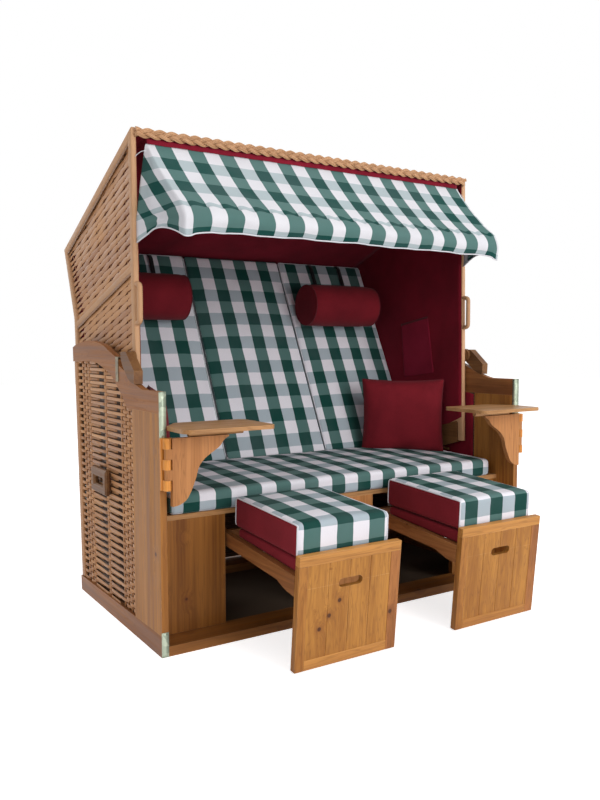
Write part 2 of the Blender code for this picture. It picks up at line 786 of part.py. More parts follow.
def build_hood_frame(name, parent):
    ring = hood_outline()
    leg = HOOD_FRONT_LOW + LEG_DEPTH
    outer = rounded(ring, 6, FRONT_CORNER_RADIUS)
    outer = rounded(outer, 5, REAR_CORNER_RADIUS)
    outer = [(HOOD_FRONT_LOW, LEG_BOTTOM), (leg, LEG_BOTTOM), (leg, ring[0][1])] + outer[1:]
    window = inset(ring, BEAM)
    return add(name, slab_between([outer, window], HOOD_INNER, HOOD_HALF), CANE, parent)


def window_crossing(window, start, end):
    """Where a straight line meets the window's front edge and its rear edges, rear first."""
    found = []
    line = Vector(end) - Vector(start)
    for index in range(len(window)):
        a = Vector(window[index])
        edge = Vector(window[(index + 1) % len(window)]) - a
        cross = line.x * edge.y - line.y * edge.x
        if abs(cross) < WELD * WELD:
            continue
        gap = a - Vector(start)
        along = (gap.x * line.y - gap.y * line.x) / cross
        if 0 <= along <= 1:
            found.append(tuple(a + edge * along))
    return sorted(found)[::-1]


def build_hood_wicker(name, parent):
    """The woven panel in the hood's side, with the middle rail that crosses it."""
    window = inset(hood_outline(), BEAM + TOUCH)
    middle = (HOOD_INNER + HOOD_HALF) / 2
    panel = slab_between([window], middle - SIDE_PANEL / 2, middle + SIDE_PANEL / 2)
    inner_window = inset(hood_outline(), BEAM + OVERRUN / 2)
    top = window_crossing(inner_window, (MID_RAIL_REAR_Y, MID_RAIL_REAR_Z), (MID_RAIL_FRONT_Y, MID_RAIL_FRONT_Z))
    low = window_crossing(inner_window, (MID_RAIL_REAR_Y, MID_RAIL_REAR_Z - MID_RAIL_HEIGHT),
                          (MID_RAIL_FRONT_Y, MID_RAIL_FRONT_Z - MID_RAIL_HEIGHT))
    rail = slab_between([[low[0], top[0], top[-1], low[-1]]], HOOD_INNER, HOOD_HALF)
    return add(name, joined(panel, [rail]), CANE, parent)


def build_lower_rail(name, parent):
    front = HOOD_FRONT_LOW + LEG_DEPTH + TOUCH
    outline = [(front, LOWER_RAIL_TOP), (front, LOWER_RAIL_BOTTOM)] + rail_end_arc()
    hole = circle((PIVOT_Y, PIVOT_Z), BOLT_RADIUS + BOLT_FIT)
    return add(name, slab_between([outline, hole], HOOD_INNER, HOOD_HALF), PALE_PINE, parent)


def build_pivot_bolt(name, parent):
    centre = (PIVOT_Y, PIVOT_Z)
    flange = disc_mesh(FLANGE_RADIUS, HOOD_HALF + TOUCH, BOLT_OUTER, centre)
    shaft = disc_mesh(BOLT_RADIUS, HOOD_INNER + TOUCH, HOOD_HALF + OVERRUN, centre)
    return add(name, joined(flange, [shaft]), STEEL, parent)


def build_hood_walls(parent):
    """The woven roof and rear wall, mitred at the rear corner."""
    half = HOOD_INNER - TOUCH
    outer = inset(hood_outline(), WALL_RECESS)
    inner = inset(hood_outline(), WALL_RECESS + WALL)
    roof = [inner[6], inner[5], outer[5], outer[6]]
    add("hood_roof", slab_between([roof], -half, half), CANE, parent)
    drop = 3 * TOUCH
    rear = [outer[2], outer[3], outer[4], (outer[5][0], outer[5][1] - drop), (inner[5][0], inner[5][1] - drop),
            inner[4], inner[3], inner[2]]
    add("hood_back", slab_between([rear], -half, half), CANE, parent)


def build_hood_grip(name, parent):
    curve = bpy.data.curves.new("grip", "CURVE")
    curve.dimensions = "3D"
    curve.bevel_depth = GRIP_RADIUS
    curve.bevel_resolution = 2
    curve.use_fill_caps = True
    steps = ROUND_STEPS // 2
    half_rise = (GRIP_HIGH - GRIP_LOW) / 2
    middle = (HOOD_INNER + HOOD_HALF) / 2
    places = [(post_front(GRIP_LOW) - 2 * TOUCH, GRIP_LOW)]
    for step in range(steps + 1):
        angle = pi * step / steps
        height = GRIP_LOW + half_rise * (1 - cos(angle))
        places.append((post_front(height) - GRIP_STUB - (GRIP_REACH - GRIP_STUB) * sin(angle) ** GRIP_SQUARENESS, height))
    places.append((post_front(GRIP_HIGH) - 2 * TOUCH, GRIP_HIGH))
    spline = curve.splines.new("POLY")
    spline.points.add(len(places) - 1)
    for point, (depth, height) in zip(spline.points, places):
        point.co = (middle, depth, height, 1)
    thing = bpy.data.objects.new("grip", curve)
    bpy.context.scene.collection.objects.link(thing)
    return add(name, evaluated_mesh(thing), CANE, parent)


def build_lever(name, parent):
    """A tapered handle that slopes forward and down from the round spacer on the hood's post."""
    front = LEVER_Y - LEVER_REACH
    low = LEVER_Z - LEVER_FALL
    outline = [(front + a * (LEVER_REACH + LEVER_HEEL), low + b * (LEVER_FALL + LEVER_HEEL))
               for a, b in LEVER_SHARES]
    inner = BOARD_INNER + 2 * TOUCH
    grip = slab_between([outline], inner, inner + LEVER_THICK)
    disc = disc_mesh(LEVER_DISC, HOOD_HALF + TOUCH, inner + OVERRUN, (LEVER_Y, LEVER_Z))
    return add(name, joined(grip, [disc]), PALE_PINE, parent)


def build_braid(parent):
    low = HOOD_TOP + BRAID_STAND - BRAID_HEIGHT
    rear = post_front(low) - TOUCH
    mesh = box_mesh((-BRAID_HALF, rear - BRAID_DEPTH, low), (BRAID_HALF, rear, low + BRAID_HEIGHT))
    bevelled(add("braid", mesh, CANE, parent), BRAID_ROUND)


# Soft pieces

def cage(cuts):
    """A cube cut into a grid, with its edges creased a little where a cushion has its seams."""
    work = bmesh.new()
    bmesh.ops.create_cube(work, size=2)
    crease = work.edges.layers.float.new("crease_edge")
    for edge in work.edges:
        edge[crease] = SEAM_CREASE
    bmesh.ops.subdivide_edges(work, edges=work.edges, cuts=cuts, use_grid_fill=True)
    return work


def swollen(part):
    swell = part.modifiers.new("swell", "SUBSURF")
    swell.levels = 1
    swell.render_levels = 1
    return part


def soft(name, work, finish, parent, location, rotation):
    mesh = bpy.data.meshes.new(name)
    work.to_mesh(mesh)
    work.free()
    mesh.shade_smooth()
    return swollen(add(name, mesh, finish, parent, location, rotation))


def box_cushion(size, crown, draw, cuts=3):
    """A box cushion on its flat underside: a crown on top and sides that swell between their seams."""
    work = cage(cuts)
    width, depth, height = size
    for vert in work.verts:
        a, b, c = vert.co
        swell_a = draw * (1 - c * c) * (abs(a) > 1 - WELD)
        swell_b = draw * (1 - c * c) * (abs(b) > 1 - WELD)
        dome = crown * (1 - a ** 4) * (1 - b ** 4) * (c > 1 - WELD)
        vert.co = (a * (width / 2 - draw + swell_a), b * (depth / 2 - draw + swell_b),
                   (c + 1) * (height - crown) / 2 + dome)
    return work


def pillow(size, cuts=3):
    """A pillow that is thickest in the middle and drawn in along its sides between pointed corners."""
    work = cage(cuts)
    width, height, thick = size
    for vert in work.verts:
        a, b, c = vert.co
        full = ((1 - a ** 4) * (1 - b ** 4)) ** 0.5
        half = thick / 2 * (SEAM_SHARE + (1 - SEAM_SHARE) * full)
        vert.co = (a * width / 2 * (1 - DIP_SHARE * (1 - b * b)), -c * half,
                   b * height / 2 * (1 - DIP_SHARE * (1 - a * a)))
    return work


def settle(part, supports, direction):
    """Moves a soft piece along a direction until it lies a touch away from what it rests on."""
    bpy.context.view_layer.update()
    graph = bpy.context.evaluated_depsgraph_get()
    away = Vector(direction).normalized()

    def shell(thing):
        ready = thing.evaluated_get(graph)
        mesh = ready.to_mesh()
        points = [thing.matrix_world @ vert.co for vert in mesh.vertices]
        faces = [tuple(face.vertices) for face in mesh.polygons]
        ready.to_mesh_clear()
        return points, faces

    points, faces = shell(part)
    own = BVHTree.FromPolygons(points, faces)
    free = []
    rests = []
    for support in supports:
        rest_points, rest_faces = shell(support)
        rest = BVHTree.FromPolygons(rest_points, rest_faces)
        rests.append(rest)
        for point in points:
            free.append(rest.ray_cast(point, away)[3])
        for point in rest_points:
            free.append(own.ray_cast(point, -away)[3])
    travel = min(gap for gap in free if gap is not None)
    touching = True
    while touching:
        travel -= TOUCH
        moved = BVHTree.FromPolygons([point + away * travel for point in points], faces)
        touching = any(moved.overlap(rest) for rest in rests)
    part.location += away * (travel - TOUCH)


def build_seat_cushion(parent):
    size = (2 * SEAT_PAD_HALF, SEAT_PAD_REAR - SEAT_PAD_FRONT, SEAT_PAD_THICK + SEAT_CROWN)
    place = (0, (SEAT_PAD_FRONT + SEAT_PAD_REAR) / 2, SEAT_HEIGHT + TOUCH)
    return soft("seat_cushion", box_cushion(size, SEAT_CROWN, SEAT_DRAW, 4), GINGHAM, parent, place, (0, 0, 0))


def build_scatter(parent, seat):
    """A pillow in each corner of the seat: the right one faces the middle, the left one leans along its side."""
    drop = SEAT_HEIGHT + SEAT_PAD_THICK + SCATTER_HEIGHT
    for name, x, y, turn in (("right", SCATTER_X, SCATTER_Y, SCATTER_TURN),
                             ("left", SCATTER_LEFT_X, SCATTER_LEFT_Y, SCATTER_LEFT_TURN)):
        work = pillow((SCATTER_WIDTH, SCATTER_HEIGHT, SCATTER_THICK))
        part = soft("scatter_cushion_" + name, work, CANVAS, parent, (x, y, drop), (-SCATTER_TILT, 0, turn))
        settle(part, [seat], (0, 0, -1))


def back_point(along, depth):
    """A point of Y and Z, so far up the backrest's front plane and so far behind it."""
    up = Vector((sin(BACK_TILT), cos(BACK_TILT)))
    behind = Vector((cos(BACK_TILT), -sin(BACK_TILT)))
    return Vector((BACK_FOOT_Y, BACK_FOOT_Z)) + up * along + behind * depth


def build_backrest(parent):
    """The board between the hood's sides and the three cushions on it."""
    half = HOOD_INNER - TOUCH
    front = BACK_PAD + BACK_CROWN
    rear = front + BACK_BOARD
    outline = [tuple(back_point(0, front)), tuple(back_point(0, rear)),
               tuple(back_point(BACK_LENGTH, rear)), tuple(back_point(BACK_LENGTH, front))]
    add("backrest_board", slab_between([outline], -half, half), PALE_PINE, parent)
    cushions = []
    seat = back_point(BACK_LENGTH / 2, front - TOUCH)
    for name, column in (("left", -1), ("centre", 0), ("right", 1)):
        size = (BACK_PANEL - 2 * BACK_PANEL_GAP, BACK_LENGTH, BACK_PAD + BACK_CROWN)
        work = box_cushion(size, BACK_CROWN, BACK_DRAW)
        place = (column * BACK_PANEL, seat.x, seat.y)
        turn = (pi / 2 - BACK_TILT, 0, 0)
        cushions.append(soft("back_cushion_" + name, work, GINGHAM, parent, place, turn))
    return cushions


def build_neck_rolls(parent, cushions):
    """Round bolsters with domed ends, lying against the back cushions."""
    for name, x, z in (("right", ROLL_X_RIGHT, ROLL_Z_RIGHT), ("left", ROLL_X_LEFT, ROLL_Z_LEFT)):
        work = bmesh.new()
        line = [work.verts.new((a * ROLL_RADIUS, 0, b * ROLL_LENGTH / 2)) for a, b in ROLL_SHARES]
        for start, end in zip(line, line[1:]):
            work.edges.new((start, end))
        mesh = bpy.data.meshes.new("roll")
        work.to_mesh(mesh)
        work.free()
        part = add("neck_roll_" + name, mesh, CANVAS, parent, (x, ROLL_START_Y, z), (0, pi / 2, 0))
        turn = part.modifiers.new("turn", "SCREW")
        turn.steps = ROUND_STEPS
        turn.render_steps = ROUND_STEPS
        turn.use_merge_vertices = True
        turn.merge_threshold = WELD
        turn.use_smooth_shade = True
        settle(part, cushions, (0, cos(BACK_TILT), -sin(BACK_TILT)))


# The awning

def awning_profile(v):
    """Y and Z of the cloth's middle line, from the top edge over the bow to the hem."""
    slope_share = SLOPE_ROWS / (SLOPE_ROWS + VALANCE_ROWS)
    top_y = post_front(AWNING_TOP_Z) - TOUCH - CLOTH / 2
    if v <= slope_share:
        t = v / slope_share
        return top_y + (AWNING_BAR_Y - top_y) * t, AWNING_TOP_Z + (AWNING_BAR_Z - AWNING_TOP_Z) * t, t
    t = (v - slope_share) / (1 - slope_share)
    return AWNING_BAR_Y, AWNING_BAR_Z - VALANCE * t, 1 + t


def awning_point(u, v):
    """A point of the cloth: the gores are the outer shares of its width."""
    gore_share = GORE_COLUMNS / CLOTH_COLUMNS
    y, z, t = awning_profile(v)
    half = AWNING_TOP_HALF + (AWNING_BAR_HALF - AWNING_TOP_HALF) * min(t, 1)
    side = -1 if u < 0.5 else 1
    edge = min(u, 1 - u)
    if edge >= gore_share:
        across = (u - 0.5) / (0.5 - gore_share)
        trough = (sin(across * PUCKER_COUNT * pi) - 1) / 2
        fold = PUCKER * min(t, 1) ** 3 * (1 + HEM_FLARE * max(t - 1, 0))
        rise = 2 * PUCKER_RISE_SHARE * (t <= 1)
        return Vector((across * half, y + fold * trough, z + fold * trough * rise))
    back = 1 - edge / gore_share
    if t <= 1:
        rear_z = AWNING_TOP_Z + (GORE_CREASE_Z - AWNING_TOP_Z) * t
    else:
        rear_z = GORE_CREASE_Z + (GORE_HEM_Z - GORE_CREASE_Z) * (t - 1)
    rear = Vector((side * GORE_X, post_front(rear_z) - 2 * TOUCH - CLOTH / 4, rear_z))
    fold = PUCKER * min(t, 1) ** 3
    front = Vector((side * half, y - fold * GORE_PUCKER_SHARE, z - fold * PUCKER_RISE_SHARE))
    if t > 1:
        front.z = z
    return front.lerp(rear, back)


def build_awning(parent):
    work = bmesh.new()
    bmesh.ops.create_grid(work, x_segments=CLOTH_COLUMNS, y_segments=SLOPE_ROWS + VALANCE_ROWS, size=1)
    for vert in work.verts:
        vert.co = awning_point((vert.co.x + 1) / 2, (1 - vert.co.y) / 2)
    bmesh.ops.recalc_face_normals(work, faces=work.faces)
    mesh = bpy.data.meshes.new("awning")
    work.to_mesh(mesh)
    work.free()
    mesh.shade_smooth()
    part = add("awning", mesh, GINGHAM, parent)
    thick = part.modifiers.new("cloth", "SOLIDIFY")
    thick.thickness = CLOTH
    thick.offset = 0


def build_bow(parent):
    """The wire bow that holds the awning out: two arms and the bar between them."""
    curve = bpy.data.curves.new("bow", "CURVE")
    curve.dimensions = "3D"
    curve.bevel_depth = BOW_RADIUS
    curve.bevel_resolution = 2
    curve.use_fill_caps = True
    arm_x = HOOD_INNER - BOW_RADIUS - 2 * TOUCH
    bar_y = AWNING_BAR_Y + BOW_BEHIND
    bar_z = AWNING_BAR_Z - BOW_BELOW
    pin_y = post_front(BOW_PIVOT_Z) + BOW_PIVOT_BACK
    corner_x = AWNING_BAR_HALF - 2 * BOW_BEHIND
    shoulder_y = post_front(BOW_PIVOT_Z) - BOW_BEHIND
    half = [(corner_x + a * BOW_BEHIND, bar_y + b * BOW_BEHIND, bar_z) for a, b in BOW_BEND_SHARES]
    half += [(arm_x, shoulder_y, BOW_PIVOT_Z), (arm_x, pin_y, BOW_PIVOT_Z)]
    points = [(-x, y, z) for x, y, z in half[::-1]] + half
    spline = curve.splines.new("POLY")
    spline.points.add(len(points) - 1)
    for point, place in zip(spline.points, points):
        point.co = (*place, 1)
    thing = bpy.data.objects.new("bow", curve)
    bpy.context.scene.collection.objects.link(thing)
    add("awning_bow", evaluated_mesh(thing), ZINC, parent)


# The tables

FOLD_Z = TABLE_TOP - TABLE_THICK - FOLD_DROP
BRACKET_TOP = FOLD_Z - STRIP_RADIUS - 2 * TOUCH


def finger(index):
    """Low and high ends of one finger of the comb hinge."""
    pitch = (COMB_HIGH - COMB_LOW) / COMB_FINGERS
    return COMB_LOW + index * pitch + FINGER_GAP / 2, COMB_LOW + (index + 1) * pitch - FINGER_GAP / 2


def build_hinge_leaf(name, parent):
    """The leaf on the front post with every other finger of the comb."""
    strip = box_mesh((LEAF_INNER, -TOUCH - LEAF_THICK, COMB_LOW), (OUTER, -TOUCH, COMB_HIGH))
    fingers = []
    for index in range(0, COMB_FINGERS, 2):
        low, high = finger(index)
        fingers.append(post_mesh(KNUCKLE_RADIUS, low, high, (SWING_X, SWING_Y)))
        fingers.append(box_mesh((SWING_X - KNUCKLE_RADIUS, SWING_Y, low), (SWING_X + KNUCKLE_RADIUS, -LEAF_THICK / 2, high)))
    return add(name, joined(strip, fingers), PALE_PINE, parent)


def build_bracket(name, parent):
    """The curved bracket under the table, with the other fingers of the comb."""
    clear = SWING_X - KNUCKLE_RADIUS - KNUCKLE_GAP
    width = clear - BRACKET_TIP
    height = BRACKET_TOP - BRACKET_LOW
    edge = smooth_line([(BRACKET_TIP + a * width, BRACKET_LOW + b * height) for a, b in BRACKET_SHARES])
    outline = edge + [(BRACKET_TIP, BRACKET_TOP), (clear, BRACKET_TOP)]
    board = slab_between([outline], SWING_Y - BRACKET_THICK / 2, SWING_Y + BRACKET_THICK / 2, "XZ")
    fingers = []
    for index in range(1, COMB_FINGERS, 2):
        low, high = finger(index)
        fingers.append(post_mesh(BRACKET_THICK / 2, low, high, (SWING_X, SWING_Y)))
        fingers.append(box_mesh((clear - OVERRUN, SWING_Y - BRACKET_THICK / 2 + TOUCH, low),
                                (SWING_X, SWING_Y + BRACKET_THICK / 2 - TOUCH, high)))
    return add(name, joined(board, fingers), PALE_PINE, parent)


def build_table_top(name, parent):
    """The plate, with its far corner cut off, and the hinge strip under it."""
    outline = [(TABLE_INNER, TABLE_FRONT), (TABLE_OUTER, TABLE_FRONT), (TABLE_OUTER, TABLE_REAR - TABLE_CHAMFER_DEPTH),
               (TABLE_OUTER - TABLE_CHAMFER, TABLE_REAR), (TABLE_INNER, TABLE_REAR)]
    for corner in (4, 3, 2, 1, 0):
        outline = rounded(outline, corner, TABLE_CORNER)
    plate = slab_between([outline], TABLE_TOP - TABLE_THICK, TABLE_TOP, "XY")
    high = TABLE_TOP - TABLE_THICK + TABLE_THICK / 4
    steps = ROUND_STEPS // 2
    section = [(SWING_Y + STRIP_RADIUS, high), (SWING_Y - STRIP_RADIUS, high)]
    for step in range(steps + 1):
        angle = pi + pi * step / steps
        section.append((SWING_Y + STRIP_RADIUS * cos(angle), FOLD_Z + STRIP_RADIUS * sin(angle)))
    middle = (TABLE_INNER + TABLE_OUTER) / 2
    strip = slab_between([section], middle - STRIP_LENGTH / 2, middle + STRIP_LENGTH / 2)
    return add(name, joined(plate, [strip]), PALE_PINE, parent)


# The footrests

def foot_rear(height):
    """Where the rear face of the tilted front panel is at a height."""
    return FOOT_TOP_Y + (FOOT_TOP_Z - height) * tan(FOOT_TILT) + FOOT_THICK / cos(FOOT_TILT)


def rail_top(depth):
    return runner_z(depth) + FOOT_RAIL_HEIGHT


def build_foot_front(name, parent):
    half = FOOT_WIDTH / 2
    outline = rectangle(-half, half, -FOOT_HEIGHT, 0)
    slot = rectangle(-FOOT_SLOT_LENGTH / 2, FOOT_SLOT_LENGTH / 2,
                     -FOOT_SLOT_DOWN - FOOT_SLOT_HEIGHT / 2, -FOOT_SLOT_DOWN + FOOT_SLOT_HEIGHT / 2)
    for corner in (3, 2, 1, 0):
        slot = rounded(slot, corner, FOOT_SLOT_HEIGHT / 2 - FOOT_CHAMFER)
    mesh = slab_between([outline, slot], 0, FOOT_THICK, "XZ")
    return add(name, mesh, PINE, parent, (FOOT_X, FOOT_TOP_Y, FOOT_TOP_Z), (FOOT_TILT, 0, 0))


def build_foot_frame(name, parent):
    """Two rails with corbels, joined by a bar at the front and one at the rear."""
    corbel_low = runner_z(CORBEL_REAR) - CORBEL_DROP
    front_z = rail_top(foot_rear(FOOT_TOP_Z))
    front_y = foot_rear(front_z) + 2 * TOUCH
    low_y = foot_rear(corbel_low) + 2 * TOUCH
    outline = [(front_y, rail_top(front_y)), (low_y, corbel_low)]
    length = CORBEL_REAR - low_y
    rise = runner_z(CORBEL_REAR) - corbel_low
    for a, b in CORBEL_SHARES[1:]:
        outline.append((low_y + a * length, corbel_low + b * rise))
    outline += [(CORBEL_REAR, runner_z(CORBEL_REAR)), (RAIL_REAR, runner_z(RAIL_REAR)), (RAIL_REAR, rail_top(RAIL_REAR))]
    near = FOOT_X - FOOT_WIDTH / 2
    far = FOOT_X + FOOT_WIDTH / 2
    rails = [slab_between([outline], near, near + RAIL_THICK), slab_between([outline], far - RAIL_THICK, far)]
    bars = []
    for bar_y in (low_y + 3 * CROSS_BAR, RAIL_REAR - 2 * CROSS_BAR):
        low = runner_z(bar_y) + OVERRUN
        high = rail_top(bar_y) - OVERRUN
        bars.append(box_mesh((near + RAIL_THICK / 2, bar_y, low), (far - RAIL_THICK / 2, bar_y + CROSS_BAR, high)))
    return add(name, joined(rails[0], bars + [rails[1]]), PINE, parent)


def pad_front():
    return foot_rear(rail_top(foot_rear(FOOT_TOP_Z))) + 2 * TOUCH


def build_foot_pad(name, parent):
    front = pad_front()
    low_front = rail_top(front) + TOUCH
    low_rear = rail_top(PAD_REAR) + TOUCH
    outline = [(front, low_front), (PAD_REAR, low_rear), (PAD_REAR, low_rear + PAD_THICK), (front, low_front + PAD_THICK)]
    return add(name, slab_between([outline], FOOT_X - PAD_HALF, FOOT_X + PAD_HALF), CANVAS, parent)


def build_foot_cushion(parents):
    front = pad_front() + FOOT_PAD_ROUND / 2
    middle = front + FOOT_PAD_LENGTH / 2
    base = rail_top(middle) + TOUCH + PAD_THICK + 2 * TOUCH
    size = (2 * FOOT_PAD_HALF, FOOT_PAD_LENGTH, FOOT_PAD_THICK + FOOT_PAD_CROWN)
    for name, side, parent in (("left", -1, parents[0]), ("right", 1, parents[1])):
        work = box_cushion(size, FOOT_PAD_CROWN, FOOT_PAD_DRAW)
        soft("footrest_cushion_" + name, work, GINGHAM, parent, (side * FOOT_X, middle, base), (SLIDE_ANGLE, 0, 0))


# The whole chair

def centre_on_ground(root):
    """Moves the reference point so that the whole stands over it."""
    bpy.context.view_layer.update()
    graph = bpy.context.evaluated_depsgraph_get()
    depths = []
    for part in parts_collection().objects:
        if part.type == "MESH":
            ready = part.evaluated_get(graph)
            mesh = ready.to_mesh()
            depths += [(part.matrix_world @ vert.co).y for vert in mesh.vertices]
            ready.to_mesh_clear()
    root.location.y = -(min(depths) + max(depths)) / 2


def main():
    clear_scene()
    root = pivot(ROOT, (0, 0, 0))
    hood = pivot(HOOD, (0, PIVOT_Y, PIVOT_Z), root)
    bow = pivot(BOW, (0, post_front(BOW_PIVOT_Z) + BOW_PIVOT_BACK / 2, BOW_PIVOT_Z), hood)
    both = (root, root)
    hoods = (hood, hood)

    pair(build_front_post, "front_post", both)
    pair(build_top_rail, "top_rail", both)
    pair(build_bottom_rail, "bottom_rail", both)
    pair(build_side_wicker, "side_wicker", both)
    pair(build_latch_plate, "latch_plate", both)
    pair(build_pivot_bolt, "pivot_bolt", both)
    pair(build_hinge_leaf, "hinge_leaf", both)
    build_carry_handles(root)
    build_boards(root)
    build_seat_board(root)
    build_shelf(root)
    build_rear_wicker(root)
    seat = build_seat_cushion(root)
    build_scatter(root, seat)

    pair(build_hood_frame, "hood_frame", hoods)
    pair(build_hood_wicker, "hood_wicker", hoods)
    pair(build_lower_rail, "hood_lower_rail", hoods)
    pair(build_hood_grip, "hood_grip", hoods)
    build_hood_walls(hood)
    build_braid(hood)
    cushions = build_backrest(hood)
    build_neck_rolls(hood, cushions)
    build_awning(hood)
    build_bow(bow)

    sides = (("left", -1), ("right", 1))
    levers = [pivot("lever_pivot_" + side, (sign * HOOD_HALF, LEVER_Y, LEVER_Z), hood) for side, sign in sides]
    swings = [pivot("table_swing_" + side, (sign * SWING_X, SWING_Y, FOLD_Z), root) for side, sign in sides]
    folds = [pivot("table_fold_" + side, (sign * SWING_X, SWING_Y, FOLD_Z), swing)
             for (side, sign), swing in zip(sides, swings)]
    slides = [pivot("footrest_slide_" + side, (sign * FOOT_X, RUNNER_Y, RUNNER_Z), root) for side, sign in sides]
    pair(build_lever, "lever", levers)
    pair(build_bracket, "table_bracket", swings)
    pair(build_table_top, "table_top", folds)
    pair(build_foot_front, "footrest_front", slides)
    pair(build_foot_frame, "footrest_frame", slides)
    pair(build_foot_pad, "footrest_pad", slides)
    build_foot_cushion(slides)
    centre_on_ground(root)


main()
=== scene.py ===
"""Looks of a hooded wicker beach chair, built around its CAD frame."""

from math import cos, pi, radians, sin, tan

import bpy
import numpy as np
from mathutils import Matrix, Vector, noise


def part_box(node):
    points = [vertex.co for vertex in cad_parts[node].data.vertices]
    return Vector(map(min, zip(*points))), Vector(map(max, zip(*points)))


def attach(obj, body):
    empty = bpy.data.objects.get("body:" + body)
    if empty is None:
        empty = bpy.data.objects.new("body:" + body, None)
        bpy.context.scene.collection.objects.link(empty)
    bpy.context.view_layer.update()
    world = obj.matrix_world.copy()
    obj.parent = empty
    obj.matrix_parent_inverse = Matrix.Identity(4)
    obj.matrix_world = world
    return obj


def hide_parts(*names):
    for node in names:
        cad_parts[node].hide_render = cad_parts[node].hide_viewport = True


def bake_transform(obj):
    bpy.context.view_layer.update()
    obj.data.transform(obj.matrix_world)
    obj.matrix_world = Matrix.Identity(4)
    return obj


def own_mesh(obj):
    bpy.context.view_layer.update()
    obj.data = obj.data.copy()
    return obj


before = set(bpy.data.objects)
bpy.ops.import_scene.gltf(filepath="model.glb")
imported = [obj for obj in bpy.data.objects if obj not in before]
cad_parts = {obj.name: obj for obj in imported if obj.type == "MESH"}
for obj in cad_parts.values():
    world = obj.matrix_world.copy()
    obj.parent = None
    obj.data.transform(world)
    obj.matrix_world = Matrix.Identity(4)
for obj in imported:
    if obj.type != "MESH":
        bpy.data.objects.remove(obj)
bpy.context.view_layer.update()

# Depths below are measured from the front of the base, as in the CAD source
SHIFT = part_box("front_post_left")[0].y
SIDES = (("left", -1), ("right", 1))

# Camera, from the photograph's perspective
IMAGE_HEIGHT = 800
FOCAL_PIXELS = 776.904
PRINCIPAL_DOWN = -5.113
SENSOR = 36.0
CAMERA_PLACE = (-1.609234, -2.100309, 0.919962)
CAMERA_YAW = radians(32.5857)
CAMERA_PITCH = radians(3.6685)
CAMERA_ROLL = radians(-0.0984)

# Base
OUTER = 0.750
BOARD_INNER = 0.729
POST_DEPTH = 0.215
BASE_DEPTH = 0.78
BASE_LEAN = radians(3.45)
BASE_OUT = np.array((0, cos(BASE_LEAN), -sin(BASE_LEAN)))

# Hood
HOOD_OUTER = 0.720
BEAM = 0.030
HOOD_RING = ((0.25636, 0.6013), (0.6121, 0.5168), (0.885, 0.600), (0.908, 0.930), (0.914, 1.022),
             (1.033, 1.300), (0.273, 1.605))
LEG_BOTTOM = 0.519
POST_FRONT = 0.255
POST_LEAN = 0.018 / 1.086
MID_RAIL = ((0.876, 1.004), (0.319, 1.158))
ROOF_LINE = ((0.2765, 1.6035), (1.027, 1.3024))
ROOF_OUT = (0.3723, 0.9281)

# Backrest
BACK_FOOT = (0.565, 0.478)
BACK_TILT = radians(25.65)
BACK_LENGTH = 0.915
BACK_UP = np.array((0, sin(BACK_TILT), cos(BACK_TILT)))
BACK_BEHIND = np.array((0, cos(BACK_TILT), -sin(BACK_TILT)))

# Footrest fronts, tilted, from their top front edge
FOOT_TILT = radians(5.4)
FOOT_TOP = (-0.3410, 0.3395)


def post_front(height):
    """Depth of the hood's front edge at a height."""
    return POST_FRONT + POST_LEAN * (height - LEG_BOTTOM)


def rear_edge(height):
    """Depth of the base's leaning rear edge at a height."""
    return BASE_DEPTH + height * tan(BASE_LEAN)


def foot_spot(x, down):
    """A place on the footrest's tilted front, in the row frame."""
    return (x, FOOT_TOP[0] + down * sin(FOOT_TILT) + SHIFT, FOOT_TOP[1] - down * cos(FOOT_TILT))


# Materials

def tint(code):
    """A linear colour from its usual web code."""
    channels = [int(code[index:index + 2], 16) / 255 for index in (0, 2, 4)]
    return tuple(c / 12.92 if c <= 0.04045 else ((c + 0.055) / 1.055) ** 2.4 for c in channels) + (1.0,)


